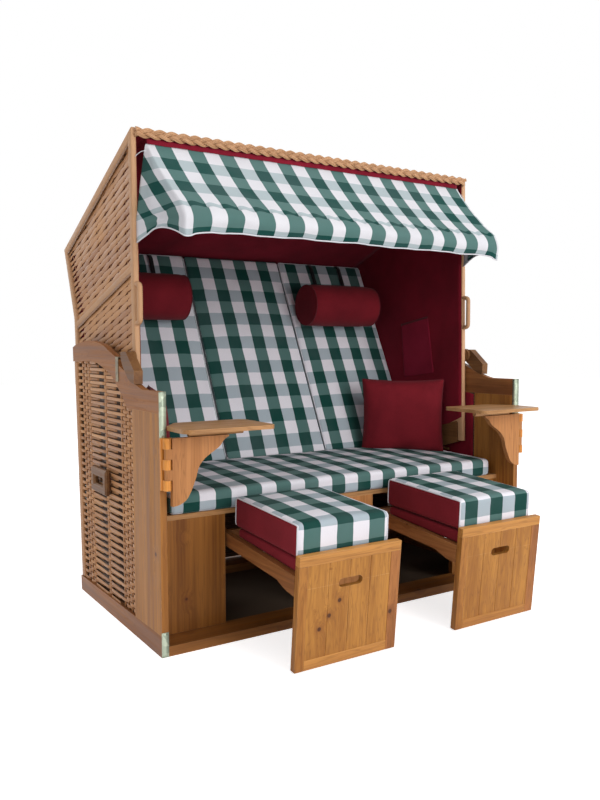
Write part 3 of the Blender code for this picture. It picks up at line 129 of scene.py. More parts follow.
class Paint:
    """A procedural material under construction."""

    def __init__(self, name, roughness, metallic=0.0, sheen=0.0, shine=0.22):
        self.material = bpy.data.materials.new(name)
        self.material.use_nodes = True
        self.tree = self.material.node_tree
        self.shader = self.tree.nodes["Principled BSDF"]
        self.shader.inputs["Roughness"].default_value = roughness
        self.shader.inputs["Metallic"].default_value = metallic
        self.shader.inputs["Sheen Weight"].default_value = sheen
        self.shader.inputs["Specular IOR Level"].default_value = shine

    def node(self, kind, inputs=None, **settings):
        node = self.tree.nodes.new("ShaderNode" + kind)
        for key, value in settings.items():
            setattr(node, key, value)
        for key, value in (inputs or {}).items():
            self.feed(node.inputs[key], value)
        return node

    def feed(self, socket, value):
        if isinstance(value, bpy.types.NodeSocket):
            self.tree.links.new(value, socket)
        else:
            socket.default_value = value

    def math(self, operation, *values, clamp=False):
        return self.node("Math", dict(enumerate(values)), operation=operation, use_clamp=clamp).outputs[0]

    def mix(self, factor, first, second, blend="MIX"):
        node = self.node("Mix", data_type="RGBA", blend_type=blend, clamp_factor=True)
        self.feed(node.inputs[0], factor)
        self.feed(node.inputs[6], first)
        self.feed(node.inputs[7], second)
        return node.outputs[2]

    def place(self, scale, source="Object", shift=(0, 0, 0)):
        coordinates = self.node("TexCoord").outputs[source]
        return self.node("Mapping", {"Vector": coordinates, "Scale": scale, "Location": shift}).outputs[0]

    def noise(self, vector, scale, detail=3.0, roughness=0.55, distortion=0.0):
        inputs = {"Vector": vector, "Scale": scale, "Detail": detail, "Roughness": roughness,
                  "Distortion": distortion}
        return self.node("TexNoise", inputs).outputs[0]

    def ramp(self, factor, low, high, start=0.0, end=1.0):
        """A factor remapped from one range to another and held inside it."""
        inputs = {"Value": factor, "From Min": low, "From Max": high, "To Min": start, "To Max": end}
        return self.node("MapRange", inputs, interpolation_type="SMOOTHSTEP").outputs[0]

    def bump(self, height, distance, strength=1.0, before=None):
        inputs = {"Height": height, "Distance": distance, "Strength": strength}
        if before is not None:
            inputs["Normal"] = before
        return self.node("Bump", inputs).outputs[0]

    def done(self, colour, normal=None, roughness=None):
        self.feed(self.shader.inputs["Base Color"], colour)
        if normal is not None:
            self.feed(self.shader.inputs["Normal"], normal)
        if roughness is not None:
            self.feed(self.shader.inputs["Roughness"], roughness)
        return self.material


KNOT_SCALE = 9.0
KNOT_PUSH = 0.010
RINGS = 14.0
# Reach and colour of the lighter edges: worn stain and a painted highlight
WORN_LIT_EDGE = 0.0022
RING_BROWN = "6b4220"
KNOT_RIM = "7a4520"
KNOT_HEART = "4a2813"
WORN_HIGHLIGHT_PINE = "d9b07c"


def wood(name, light, dark, grain, seed=0.0, knots=1.0, roughness=0.5, placed=()):
    """Stained softwood: soft streaks and ring lines along the grain that bend round knots, and lighter edges,
    partly worn stain and partly a painted highlight.
    Placed knots are given by their spot in the row frame."""
    paint = Paint(name, roughness)
    axis = "XYZ".index(grain)
    body = paint.place((1, 1, 1), shift=(seed, seed * 0.7, seed * 1.3))
    cells = paint.node("TexVoronoi", {"Vector": body, "Scale": KNOT_SCALE, "Randomness": 1.0}, feature="F1")
    far = paint.math("MULTIPLY", cells.outputs["Distance"], 1 / max(knots, 0.05) if knots < 1 else 1.0)
    for spot in placed:
        place = paint.node("TexCoord").outputs["Object"]
        away = paint.node("VectorMath", {0: place, 1: spot}, operation="DISTANCE")
        far = paint.math("MINIMUM", far, paint.math("MULTIPLY", away.outputs["Value"], KNOT_SCALE))
    push = [KNOT_PUSH] * 3
    push[axis] = 0.0
    bent = paint.node("VectorMath", {0: paint.ramp(far, 0.34, 0.02), 1: push, 2: body},
                      operation="MULTIPLY_ADD").outputs["Vector"]

    def streaks(across, along, detail):
        scale = [across, across, across]
        scale[axis] = along
        return paint.noise(paint.node("Mapping", {"Vector": bent, "Scale": scale}).outputs[0], 1.0, detail)

    broad, fine = streaks(24.0, 1.2, 3.0), streaks(130.0, 2.2, 3.0)
    tone = paint.math("MULTIPLY_ADD", fine, 0.42, paint.math("MULTIPLY", broad, 0.58))
    colour = paint.mix(paint.ramp(tone, 0.34, 0.66), tint(dark), tint(light))
    turns = paint.math("FRACT", paint.math("MULTIPLY", broad, RINGS))
    ring = paint.math("ABSOLUTE", paint.math("SUBTRACT", turns, 0.5))
    colour = paint.mix(paint.math("MULTIPLY", paint.ramp(ring, 0.30, 0.48), 0.30), colour, tint(RING_BROWN))
    colour = paint.mix(paint.math("MULTIPLY", paint.ramp(far, 0.16, 0.05), 0.45), colour, tint(KNOT_RIM))
    colour = paint.mix(paint.ramp(far, 0.075, 0.045), colour, tint(KNOT_HEART))
    # Lighter edges: worn stain, and a painted highlight along every edge
    bevel = paint.node("Bevel", {"Radius": WORN_LIT_EDGE}, samples=4).outputs[0]
    straight = paint.node("NewGeometry").outputs["Normal"]
    edge = paint.node("VectorMath", {0: bevel, 1: straight}, operation="DOT_PRODUCT").outputs["Value"]
    worn_highlight = paint.math("MULTIPLY", paint.ramp(edge, 0.995, 0.86), paint.ramp(broad, 0.35, 0.7, 0.1, 0.40))
    colour = paint.mix(worn_highlight, colour, tint(WORN_HIGHLIGHT_PINE))
    relief = paint.bump(paint.math("MULTIPLY_ADD", ring, 0.35, fine), 0.0004, 0.4)
    return paint.done(colour, relief, paint.ramp(fine, 0.3, 0.8, roughness - 0.1, roughness + 0.12))


def cane(name, light, dark, along=220.0):
    """Tan strips with fine fibres along each strand and a tone of its own for each."""
    paint = Paint(name, 0.46)
    strand = paint.node("Attribute", attribute_name="tone", attribute_type="GEOMETRY").outputs["Fac"]
    fibre = paint.noise(paint.place((30.0, along * 4, 1.0), "UV"), 1.0, 2.0)
    cloud = paint.noise(paint.place((1, 1, 1)), 9.0, 3.0)
    tone = paint.math("MULTIPLY_ADD", strand, 0.55, paint.math("MULTIPLY", cloud, 0.45))
    tone = paint.math("MULTIPLY_ADD", fibre, 0.35, paint.math("SUBTRACT", tone, 0.17))
    colour = paint.mix(paint.ramp(tone, 0.15, 0.85), tint(dark), tint(light))
    return paint.done(colour, paint.bump(fibre, 0.0003, 0.5), paint.ramp(cloud, 0.3, 0.7, 0.38, 0.55))


def canvas(name, light, dark, crease=0.0016):
    """Dyed canvas: threads, soft creases and a little uneven dye."""
    paint = Paint(name, 0.85, sheen=0.04, shine=0.10)
    body = paint.place((1, 1, 1))
    cloud = paint.noise(body, 5.0, 4.0)
    fleck = paint.noise(body, 420.0, 2.0)
    fold = paint.noise(paint.place((1.0, 1.0, 0.45)), 11.0, 2.0, 0.5, 0.6)
    tone = paint.math("MULTIPLY_ADD", fleck, 0.35, paint.math("MULTIPLY", cloud, 0.65))
    colour = paint.mix(paint.ramp(tone, 0.25, 0.75), tint(dark), tint(light))
    relief = paint.bump(fold, crease * 4, 0.35)
    threads = paint.noise(body, 900.0, 1.0)
    return paint.done(colour, paint.bump(threads, 0.0003, 0.6, relief))


def gingham(name, whites, pale, mid, deep):
    """Two-way check from crossed stripes. The UV map counts pairs of checks."""
    paint = Paint(name, 0.82, sheen=0.02, shine=0.10)
    place = paint.node("TexCoord").outputs["UV"]
    split = paint.node("SeparateXYZ", {0: place})
    wander = paint.math("MULTIPLY", paint.math("SUBTRACT", paint.noise(place, 3.0, 1.0), 0.5), 0.03)
    stripes = []
    for axis in (0, 1):
        part = paint.math("FRACT", paint.math("ADD", split.outputs[axis], wander))
        half = paint.math("ABSOLUTE", paint.math("SUBTRACT", part, 0.5))
        stripes.append(paint.ramp(half, 0.246, 0.254, 1.0, 0.0))
    fleck = paint.noise(place, 260.0, 2.0)
    plain = paint.mix(stripes[1], tint(whites), tint(pale))
    dyed = paint.mix(stripes[1], tint(mid), tint(deep))
    colour = paint.mix(stripes[0], plain, dyed)
    colour = paint.mix(paint.ramp(fleck, 0.35, 0.75, 0.0, 0.14), colour, tint("2a3f3b"))
    cloud = paint.noise(paint.place((1, 1, 1)), 4.0, 3.0)
    colour = paint.mix(paint.ramp(cloud, 0.3, 0.75, 0.0, 0.10), colour, tint("8c8f96"))
    fold = paint.noise(paint.place((1, 1, 0.5)), 9.0, 2.0, 0.5, 0.5)
    relief = paint.bump(fold, 0.006, 0.3)
    threads = paint.noise(place, 160.0, 1.0)
    return paint.done(colour, paint.bump(threads, 0.0004, 0.5, relief))


def metal(name, light, dark, roughness, metallic, spangle):
    """Galvanised sheet with its crystal spangle, or plain steel."""
    paint = Paint(name, roughness, metallic)
    cells = paint.node("TexVoronoi", {"Vector": paint.place((1, 1, 1)), "Scale": spangle}, feature="F1")
    shade = paint.node("SeparateColor", {0: cells.outputs["Color"]}).outputs[0]
    cloud = paint.noise(paint.place((1, 1, 1)), 30.0, 3.0)
    tone = paint.math("MULTIPLY_ADD", shade, 0.6, paint.math("MULTIPLY", cloud, 0.4))
    colour = paint.mix(paint.ramp(tone, 0.2, 0.8), tint(dark), tint(light))
    relief = paint.bump(cloud, 0.0003, 0.3)
    return paint.done(colour, relief, paint.ramp(tone, 0.2, 0.8, roughness - 0.08, roughness + 0.1))


def trim(name, light, dark, roughness, threads):
    """Piping, webbing and stitches: twisted thread relief along the UV map."""
    paint = Paint(name, roughness, sheen=0.1)
    place = paint.place((1, 1, 1), "UV")
    twist = paint.node("TexWave", {"Vector": place, "Scale": threads, "Distortion": 0.6},
                       bands_direction="DIAGONAL").outputs["Fac"]
    cloud = paint.noise(paint.place((1, 1, 1)), 40.0, 2.0)
    colour = paint.mix(paint.math("MULTIPLY", cloud, 1.0), tint(dark), tint(light))
    return paint.done(colour, paint.bump(twist, 0.0004, 0.5))


PINE_UP = wood("pine_upright", "b47a3a", "8a5523", "Z", 0.0)
# The front boards' pine is a darker copy: painted shade, as they stand in shadow
SHADED_FRONT_PINE = wood("front_boards_shaded", "966028", "6f4016", "Z", 2.9)
PINE_LONG = wood("pine_lengthwise", "9f683c", "7b4a27", "Y", 3.1)
PINE_WIDE = wood("pine_crosswise", "94602c", "6c3f1a", "X", 5.7)
PANEL_PINE = wood("panel_pine", "b57d3a", "945f28", "Z", 8.3, 0.3, 0.5,
                  [foot_spot(-0.341, 0.148), foot_spot(-0.407, 0.223), foot_spot(-0.375, 0.188)])
RED_PINE = wood("red_pine", "ab6f3c", "85512a", "Z", 1.9, 0.3, 0.5, [foot_spot(-0.153, 0.217)])
EDGE_PINE = wood("edge_pine", "c48a48", "a46d35", "X", 6.1, 0.3)
PALE_WIDE = wood("pale_crosswise", "b98a5c", "9d7145", "X", 2.2, 0.4, 0.42)
PALE_UP = wood("pale_upright", "c08450", "a56c3c", "Z", 6.4, 0.2)
PALE_LONG = wood("pale_lengthwise", "7e5734", "613e24", "Y", 9.2, 0.5)
ORANGE = wood("orange_pine", "e59a4c", "c67c33", "Z", 4.4, 0.1)
CANE = cane("woven_strips", "cf9a69", "96623d")
WOUND = cane("wound_strips", "d3a67e", "ab7f5b")
POCKET_RED = canvas("pocket_red", "97203a", "741529")
LATCH = metal("latch_plate", "9c927c", "776c59", 0.5, 0.6, 60.0)
# Near-black strips behind the weave: painted shade seen through its gaps
SHADE_CANE = cane("shade_strips", "523823", "3a2617")
# Darker cane for the strips under the beams: painted shade cast by the beams
SHADE_SCALLOP_CANE = cane("scallop_strips_shaded", "9d7556", "74533b")
RED = canvas("red_canvas", "84202a", "5f141d")
LINING = canvas("red_lining", "8a1a2c", "62101d")
BAND_RED = canvas("band_red", "8c1c2f", "6c1222", 0.0008)
SIDE_RED = canvas("side_red", "86232d", "66171f", 0.0010)
CHECK = gingham("check", "e6e2e8", "a9b4bb", "4d6e69", "0f3f38")
AWNING_CHECK = gingham("awning_check", "dbd9dd", "aebabd", "51736e", "0f443e")
ZINC = metal("galvanised", "b9c2ad", "8f9a88", 0.45, 0.75, 60.0)
STEEL = metal("plain_steel", "a3a39f", "7f7f7c", 0.4, 0.9, 25.0)
WHITE_TRIM = trim("white_piping", "e4e2e6", "cfccd2", 0.7, 300.0)
DARK_TRIM = trim("dark_piping", "3c4a4b", "2a3536", 0.8, 300.0)
RED_TRIM = trim("red_piping", "6b1b25", "4e121b", 0.8, 300.0)
STRAP = trim("black_webbing", "1d1b1d", "121113", 0.75, 500.0)


# Mesh helpers

def unit(vectors):
    return vectors / np.linalg.norm(vectors, axis=-1, keepdims=True)


def finished(piece, body, material, replaces=()):
    """Paints a piece and sets it on its body. A piece that bends between two bodies comes with none."""
    piece.data.materials.append(material)
    bpy.context.scene.collection.objects.link(piece)
    if body:
        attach(piece, body)
    if replaces:
        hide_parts(*replaces)
    return piece


def new_mesh(name, points, faces, uvs, smooth=True):
    """A mesh in the row frame from points in the chair's own depths, with one UV pair for each corner."""
    points = np.asarray(points, float).reshape(-1, 3) + (0, SHIFT, 0)
    mesh = bpy.data.meshes.new(name)
    mesh.from_pydata(points.tolist(), [], [list(map(int, face)) for face in faces])
    layer = mesh.uv_layers.new(name="UVMap")
    layer.data.foreach_set("uv", np.asarray(uvs, np.float32).ravel())
    if smooth:
        mesh.shade_smooth()
    return mesh


class Strands:
    """Collects swept strips, cords and wound beams into one mesh."""

    def __init__(self):
        self.points, self.quads, self.uvs, self.tones, self.caps = [], [], [], [], []
        self.count = 0

    def sweep(self, path, normals, section, tone=0.5, closed=False):
        path = np.asarray(path, float)
        normals = np.broadcast_to(np.asarray(normals, float), path.shape)
        section = np.asarray(section, float)
        if section.ndim == 2:
            section = np.repeat(section[None], len(path), 0)
        ahead = np.roll(path, -1, 0) - np.roll(path, 1, 0) if closed else np.gradient(path, axis=0)
        tangent = unit(ahead)
        side = unit(np.cross(tangent, normals))
        up = np.cross(side, tangent)
        ring = path[:, None] + side[:, None] * section[..., :1] + up[:, None] * section[..., 1:2]
        self.rings(path, ring, tone, closed)

    def rings(self, path, ring, tone, closed=False):
        """Adds a skin over rings of points that follow a path."""
        rows, columns = ring.shape[:2]
        index = self.count + np.arange(rows * columns).reshape(rows, columns)
        lengths = np.linalg.norm(np.diff(np.vstack([path, path[:1]]), axis=0), axis=1)
        along = np.concatenate([[0], np.cumsum(lengths)])
        around = np.concatenate([[0], np.cumsum(np.linalg.norm(ring[0] - np.roll(ring[0], -1, 0), axis=1))])
        last = rows if closed else rows - 1
        here = index[:last]
        after = np.roll(index, -1, 0)[:last]
        quad = np.stack([here, after, np.roll(after, -1, 1), np.roll(here, -1, 1)], -1)
        u_low = np.repeat(along[:last, None], columns, 1)
        u_high = np.repeat(along[1:last + 1, None], columns, 1)
        v_low = np.repeat(around[None, :-1], last, 0)
        v_high = np.repeat(around[None, 1:], last, 0)
        corners = ((u_low, v_low), (u_high, v_low), (u_high, v_high), (u_low, v_high))
        uv = np.stack([np.stack(pair, -1) for pair in corners], -2)
        self.points.append(ring.reshape(-1, 3))
        self.quads.append(quad.reshape(-1, 4))
        self.uvs.append(uv.reshape(-1, 4, 2))
        self.tones.append(np.full(last * columns, tone))
        if not closed:
            self.caps += [(index[0].tolist(), tone), (index[-1][::-1].tolist(), tone)]
        self.count += rows * columns

    def make(self, name, material, body, replaces=(), slot=None):
        faces = np.concatenate(self.quads).tolist() + [cap for cap, _ in self.caps]
        uvs = np.concatenate([np.concatenate(self.uvs).reshape(-1, 2),
                              np.zeros((sum(len(cap) for cap, _ in self.caps), 2))])
        mesh = new_mesh(name, np.concatenate(self.points), faces, uvs)
        tones = np.concatenate([np.concatenate(self.tones), [tone for _, tone in self.caps]])
        mesh.attributes.new("tone", "FLOAT", "FACE").data.foreach_set("value", tones.astype(np.float32))
        return finished(bpy.data.objects.new(name, mesh), body, material, replaces)


LENS_SHOULDER = 0.82


def lens(width, thick):
    """A strip's cross-section with rounded edges."""
    a, b = width / 2, thick / 2
    shoulder = a * LENS_SHOULDER
    return [(a, 0), (shoulder, b), (-shoulder, b), (-a, 0), (-shoulder, -b), (shoulder, -b)]


def round_section(radius, steps=8):
    return [(radius * cos(2 * pi * k / steps), radius * sin(2 * pi * k / steps)) for k in range(steps)]


def box_section(width, thick, corner):
    """A rounded rectangle, anticlockwise."""
    a, b = width / 2, thick / 2
    points = []
    middles = ((a - corner, b - corner), (-a + corner, b - corner), (-a + corner, -b + corner),
               (a - corner, -b + corner))
    for turn, (x, y) in enumerate(middles):
        for step in (0, 1, 2):
            angle = pi / 2 * (turn + step / 2)
            points.append((x + corner * cos(angle), y + corner * sin(angle)))
    return np.array(points)


def softened(piece):
    """A padded piece with its faces smoothed once."""
    soften = piece.modifiers.new("soften", "SUBSURF")
    soften.levels = 1
    soften.render_levels = 1
    return piece


def tone_of(*key):
    """A steady pseudo-random tone for a numbered strand."""
    return 0.5 + 0.5 * noise.noise(Vector([value * 7.31 + 0.37 for value in (*key, 0, 0)[:3]]))


def steps_between(start, end, spacing):
    start, end = np.asarray(start, float), np.asarray(end, float)
    count = max(2, int(np.linalg.norm(end - start) / spacing) + 1)
    return start + (end - start) * np.linspace(0, 1, count)[:, None]


def wind(strands, start, end, normal, width, thick, pitch, groove, key):
    """A straight beam wound with strip: a fine groove between turns."""
    turns = max(2, round(float(np.linalg.norm(np.subtract(end, start))) / pitch))
    stations = [((k + part) / turns) for k in range(turns) for part in (0, 0.16, 0.84)]
    share = np.array(stations + [1.0])
    path = np.asarray(start, float) + np.subtract(end, start) * share[:, None]
    thin = min(width, thick)
    base = box_section(width, thick, thin * 0.28)
    sections = np.stack([base * (1 - groove * 2 / thin * (k % 3 == 0)) for k in range(len(share))])
    strands.sweep(path, normal, sections, tone_of(key, 3, 1))


def crossing(a, b, c, d):
    """Share along a-b where it crosses c-d, or None."""
    along, other = np.subtract(b, a), np.subtract(d, c)
    cross = along[0] * other[1] - along[1] * other[0]
    if abs(cross) < 1e-12:
        return None
    gap = np.subtract(c, a)
    share = (gap[0] * other[1] - gap[1] * other[0]) / cross
    reach = (gap[0] * along[1] - gap[1] * along[0]) / cross
    return share if -1e-6 <= share <= 1 + 1e-6 and -1e-6 <= reach <= 1 + 1e-6 else None


def crossings(a, b, polygon):
    """Shares along a-b where it crosses a polygon's edges, in order."""
    found = (crossing(a, b, polygon[k - 1], polygon[k]) for k in range(len(polygon)))
    return sorted(share for share in found if share is not None)


def clipped(a, b, polygon):
    """The longest piece of the line a-b inside a polygon, or None."""
    shares = crossings(a, b, polygon)
    if len(shares) < 2:
        return None
    line = np.subtract(b, a)
    return np.add(a, line * shares[0]), np.add(a, line * shares[-1])


def cloth_grid(name, points, uvs, material, body, thick=0.0012, replaces=(), offset=0.0):
    """A sheet from a grid of points, with the thickness of cloth."""
    points = np.asarray(points, float)
    uvs = np.asarray(uvs, float)
    rows, columns = points.shape[:2]
    index = np.arange(rows * columns).reshape(rows, columns)
    quads = np.stack([index[:-1, :-1], index[:-1, 1:], index[1:, 1:], index[1:, :-1]], -1).reshape(-1, 4)
    corners = uvs.reshape(-1, 2)[quads]
    piece = bpy.data.objects.new(name, new_mesh(name, points, quads, corners))
    layer = piece.modifiers.new("cloth", "SOLIDIFY")
    layer.thickness = thick
    layer.offset = offset
    return finished(piece, body, material, replaces)


def blend_grid(corners, rows, columns):
    """Points between four corners: low start, low end, high end, high start."""
    low_start, low_end, high_end, high_start = (np.asarray(corner, float) for corner in corners)
    s = np.linspace(0, 1, columns)[None, :, None]
    t = np.linspace(0, 1, rows)[:, None, None]
    return (low_start * (1 - s) + low_end * s) * (1 - t) + (high_start * (1 - s) + high_end * s) * t


def ride_paint(names, material):
    for name in names:
        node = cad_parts[name]
        node.data.materials.clear()
        node.data.materials.append(material)


def both(name):
    return [name + "_left", name + "_right"]


# Finishes of the CAD nodes that stay

ride_paint(both("front_post"), PINE_UP)
ride_paint(both("top_rail") + both("bottom_rail"), PINE_LONG)
ride_paint(both("front_board"), SHADED_FRONT_PINE)
ride_paint(["front_floor_board", "rear_floor_board", "runner_shelf"], PINE_WIDE)
ride_paint(["front_board_centre"], PALE_UP)
ride_paint(["seat_board", "backrest_board"], PALE_WIDE)
ride_paint(both("hood_lower_rail") + both("carry_handle") + both("lever"), PALE_LONG)
ride_paint(both("table_bracket"), PALE_UP)
ride_paint(both("table_top"), PALE_WIDE)
ride_paint(both("hinge_leaf"), ORANGE)
ride_paint(both("footrest_frame"), PINE_LONG)
ride_paint(both("latch_plate"), LATCH)
ride_paint(["awning_bow"], ZINC)
ride_paint(both("pivot_bolt"), STEEL)


# Camera, light and floor

def build_view():
    level = cos(CAMERA_PITCH)
    forward = Vector((sin(CAMERA_YAW) * level, cos(CAMERA_YAW) * level, -sin(CAMERA_PITCH)))
    right = Vector((cos(CAMERA_YAW), -sin(CAMERA_YAW), 0))
    up = right.cross(forward)
    turn = Matrix.Rotation(-CAMERA_ROLL, 3, forward)
    right, up = turn @ right, turn @ up
    data = bpy.data.cameras.new("camera")
    data.sensor_width = SENSOR
    data.lens = FOCAL_PIXELS / IMAGE_HEIGHT * SENSOR
    data.shift_y = PRINCIPAL_DOWN / IMAGE_HEIGHT
    data.clip_start = 0.05
    camera = bpy.data.objects.new("camera", data)
    matrix = Matrix((right, up, -forward)).transposed().to_4x4()
    matrix.translation = Vector(CAMERA_PLACE) + Vector((0, SHIFT, 0))
    camera.matrix_world = matrix
    bpy.context.scene.collection.objects.link(camera)
    bpy.context.scene.camera = camera


def build_lamp(name, place, aim, size, power):
    """A square lamp that points at a height above the frame's origin."""
    data = bpy.data.lights.new(name, "AREA")
    data.shape = "SQUARE"
    data.size = size
    data.energy = power
    lamp = bpy.data.objects.new(name, data)
    lamp.location = place
    lamp.rotation_euler = (Vector((0, 0, aim)) - Vector(place)).to_track_quat("-Z", "Y").to_euler()
    bpy.context.scene.collection.objects.link(lamp)


def add_light_path(tree):
    """1 for rays from the camera, in reflections and through clear things, 0 for the rest."""
    path = tree.nodes.new("ShaderNodeLightPath")
    largest = path.outputs["Is Camera Ray"]
    for name in ("Is Glossy Ray", "Is Transmission Ray"):
        either = tree.nodes.new("ShaderNodeMath")
        either.operation = "MAXIMUM"
        tree.links.new(largest, either.inputs[0])
        tree.links.new(path.outputs[name], either.inputs[1])
        largest = either.outputs[0]
    return largest


WORLD_COLOUR = (0.97, 0.98, 1.0, 1.0)
WORLD_STRENGTH = 0.55
WHITE = (1, 1, 1, 1)
FLOOR_REACH = 16
FLOOR_GLOW = 0.70
UNDER_MIDDLE = 0.39
UNDER_HALF = (0.735, 0.385)
LAMPS = (("key_light", (0.9, -4.6, 1.9), 0.9, 2.6, 118), ("fill_light", (-3.6, -2.6, 2.4), 0.8, 3.0, 20),
         ("top_light", (0.0, -0.9, 4.4), 0, 3.5, 40), ("rear_light", (-1.0, 4.4, 3.2), 0.8, 3.0, 35))


def build_world():
    """Even light from all round, seen as plain white."""
    world = bpy.data.worlds.new("studio")
    bpy.context.scene.world = world
    world.use_nodes = True
    tree = world.node_tree
    ground = tree.nodes["Background"]
    ground.inputs["Color"].default_value = WORLD_COLOUR
    ground.inputs["Strength"].default_value = WORLD_STRENGTH
    seen = tree.nodes.new("ShaderNodeBackground")
    seen.inputs["Color"].default_value = WHITE
    seen.inputs["Strength"].default_value = 1.0
    mixed = tree.nodes.new("ShaderNodeMixShader")
    tree.links.new(add_light_path(tree), mixed.inputs[0])
    tree.links.new(ground.outputs[0], mixed.inputs[1])
    tree.links.new(seen.outputs[0], mixed.inputs[2])
    tree.links.new(mixed.outputs[0], tree.nodes["World Output"].inputs[0])


def build_floor():
    """A pale floor that keeps the chair's shadow, dark where the base's sides keep the light out."""
    mesh = bpy.data.meshes.new("floor")
    corners = [(-FLOOR_REACH, -FLOOR_REACH, 0), (FLOOR_REACH, -FLOOR_REACH, 0), (FLOOR_REACH, FLOOR_REACH, 0),
               (-FLOOR_REACH, FLOOR_REACH, 0)]
    mesh.from_pydata(corners, [], [(0, 1, 2, 3)])
    floor = bpy.data.objects.new("floor", mesh)
    paint = Paint("pale_floor", 0.9)
    split = paint.node("SeparateXYZ", {0: paint.node("NewGeometry").outputs["Position"]})
    across = paint.math("LESS_THAN", paint.math("ABSOLUTE", split.outputs[0]), UNDER_HALF[0])
    deep = paint.math("ABSOLUTE", paint.math("SUBTRACT", split.outputs[1], SHIFT + UNDER_MIDDLE))
    under = paint.math("MULTIPLY", across, paint.math("LESS_THAN", deep, UNDER_HALF[1]))
    pale = paint.mix(paint.noise(paint.place((1, 1, 1)), 6.0), tint("f0eff0"), tint("f4f4f4"))
    material = paint.done(paint.mix(under, pale, tint("5a4b3d")))
    glow = paint.node("Emission", {"Color": WHITE})
    lit = paint.math("MULTIPLY", paint.math("SUBTRACT", 1.0, under), FLOOR_GLOW)
    paint.feed(glow.inputs["Strength"], lit)
    added = paint.node("AddShader")
    paint.tree.links.new(paint.shader.outputs[0], added.inputs[0])
    paint.tree.links.new(glow.outputs[0], added.inputs[1])
    mixed = paint.node("MixShader")
    paint.tree.links.new(add_light_path(paint.tree), mixed.inputs[0])
    paint.tree.links.new(paint.shader.outputs[0], mixed.inputs[1])
    paint.tree.links.new(added.outputs[0], mixed.inputs[2])
    paint.tree.links.new(mixed.outputs[0], paint.tree.nodes["Material Output"].inputs[0])
    mesh.materials.append(material)
    bpy.context.scene.collection.objects.link(floor)


build_view()
build_world()
build_floor()
for lamp_row in LAMPS:
    build_lamp(*lamp_row)
bpy.context.scene.view_settings.view_transform = "Standard"


# Woven sides of the base

ROW = 0.01175
BASE_MEAN = 0.7402
BASE_SWING = 0.0034
PIT_DEPTH = 0.0105
BASE_STRIP = (0.0112, 0.0018)
BASE_STEP = 0.0075
BASE_DRIFT = 0.0009
BASE_STAKE = (0.0085, 0.0030)
STAKE_STEP = 0.05
STAKE_LINES = (0.236, 0.269, 0.303, 0.337, 0.486, 0.656, 0.690, 0.723)
OUTER_STAKES = (1, 3, 6)
PANEL_END = 0.870
PITS = ((0.356, 0.415, 0.464), (0.508, 0.585, 0.634), (0.742, 0.806, 0.824))
PIT_DROP = 0.004
PIT_RISE = (0.016, 0.009)
PIT_SHELF = (-1.1, -0.8)
LINING_PLACE = 0.7322
LINING_STEP = 0.2
LINING_STRIP = (ROW - 0.0005, 0.0014)
BAND = (0.040, 0.0125)
BAND_ENDS = (0.056, 0.858)
BAND_TURN = 0.0068
BAND_GROOVE = 0.0004
EDGE_GAP = 0.001
LEAN_LEVEL = 0.5
SIDE_OUTLINE = ((0.2158, 0.0625), (0.784, 0.0545), (0.8318, 0.8605), (0.606, 0.8625), (0.507, 0.8485),
                (0.399, 0.8155), (0.300, 0.7525), (0.2656, 0.7215), (0.2158, 0.7215))
CARRY_SLOT = (0.4655, 0.5595, 0.4395, 0.4685)


def leaned(depth, height):
    """A depth that keeps its share between the post and the leaning rear edge."""
    share = (depth - POST_DEPTH) / (BASE_DEPTH - POST_DEPTH)
    return depth + share * (height - LEAN_LEVEL) * tan(BASE_LEAN)


def around_slot(start, end):
    """The parts of a level line that leave the carry handle's slot free."""
    front, rear, low, high = CARRY_SLOT
    if not low < start[1] < high:
        return [(start, end)]
    return [(start, np.array([front, start[1]])), (np.array([rear, start[1]]), end)]


def side_lift(side, place):
    """Turns depths and heights into points on a side's plane."""
    return lambda flat: np.column_stack([np.full(len(flat), side * place), flat])


def eased(at, places, values):
    """Values given at places along a line, joined by smooth steps."""
    slot = np.clip(np.searchsorted(places, at, side="right") - 1, 0, len(places) - 2)
    t = np.clip((at - places[slot]) / np.maximum(places[slot + 1] - places[slot], 1e-6), 0, 1)
    return values[slot] + (values[slot + 1] - values[slot]) * t * t * (3 - 2 * t)


def base_knots():
    """Depths of the even and odd rows along the panel, at its stakes and open columns."""
    knots = [(POST_DEPTH, 1, 1)]
    for index, line in enumerate(STAKE_LINES):
        over = 1 if index in OUTER_STAKES else -1
        knots.append((line, over, -over))
    deep = -PIT_DEPTH / BASE_SWING
    for front, dark, rear in PITS:
        knots += [(front, 1, -1), (front + PIT_DROP, 1, deep), (dark - PIT_RISE[0], 1, deep),
                  (dark - PIT_RISE[1], 1, PIT_SHELF[0]), (rear, 1, PIT_SHELF[1])]
    knots.append((PANEL_END, 1, -1))
    return np.array(sorted(knots))


BASE_KNOTS = base_knots()


def base_depth(row, flat):
    """How far out each point of a row stands."""
    places = leaned(BASE_KNOTS[:, 0], flat[0, 1])
    return eased(flat[:, 0], places, BASE_KNOTS[:, 1 + row % 2]) * BASE_SWING


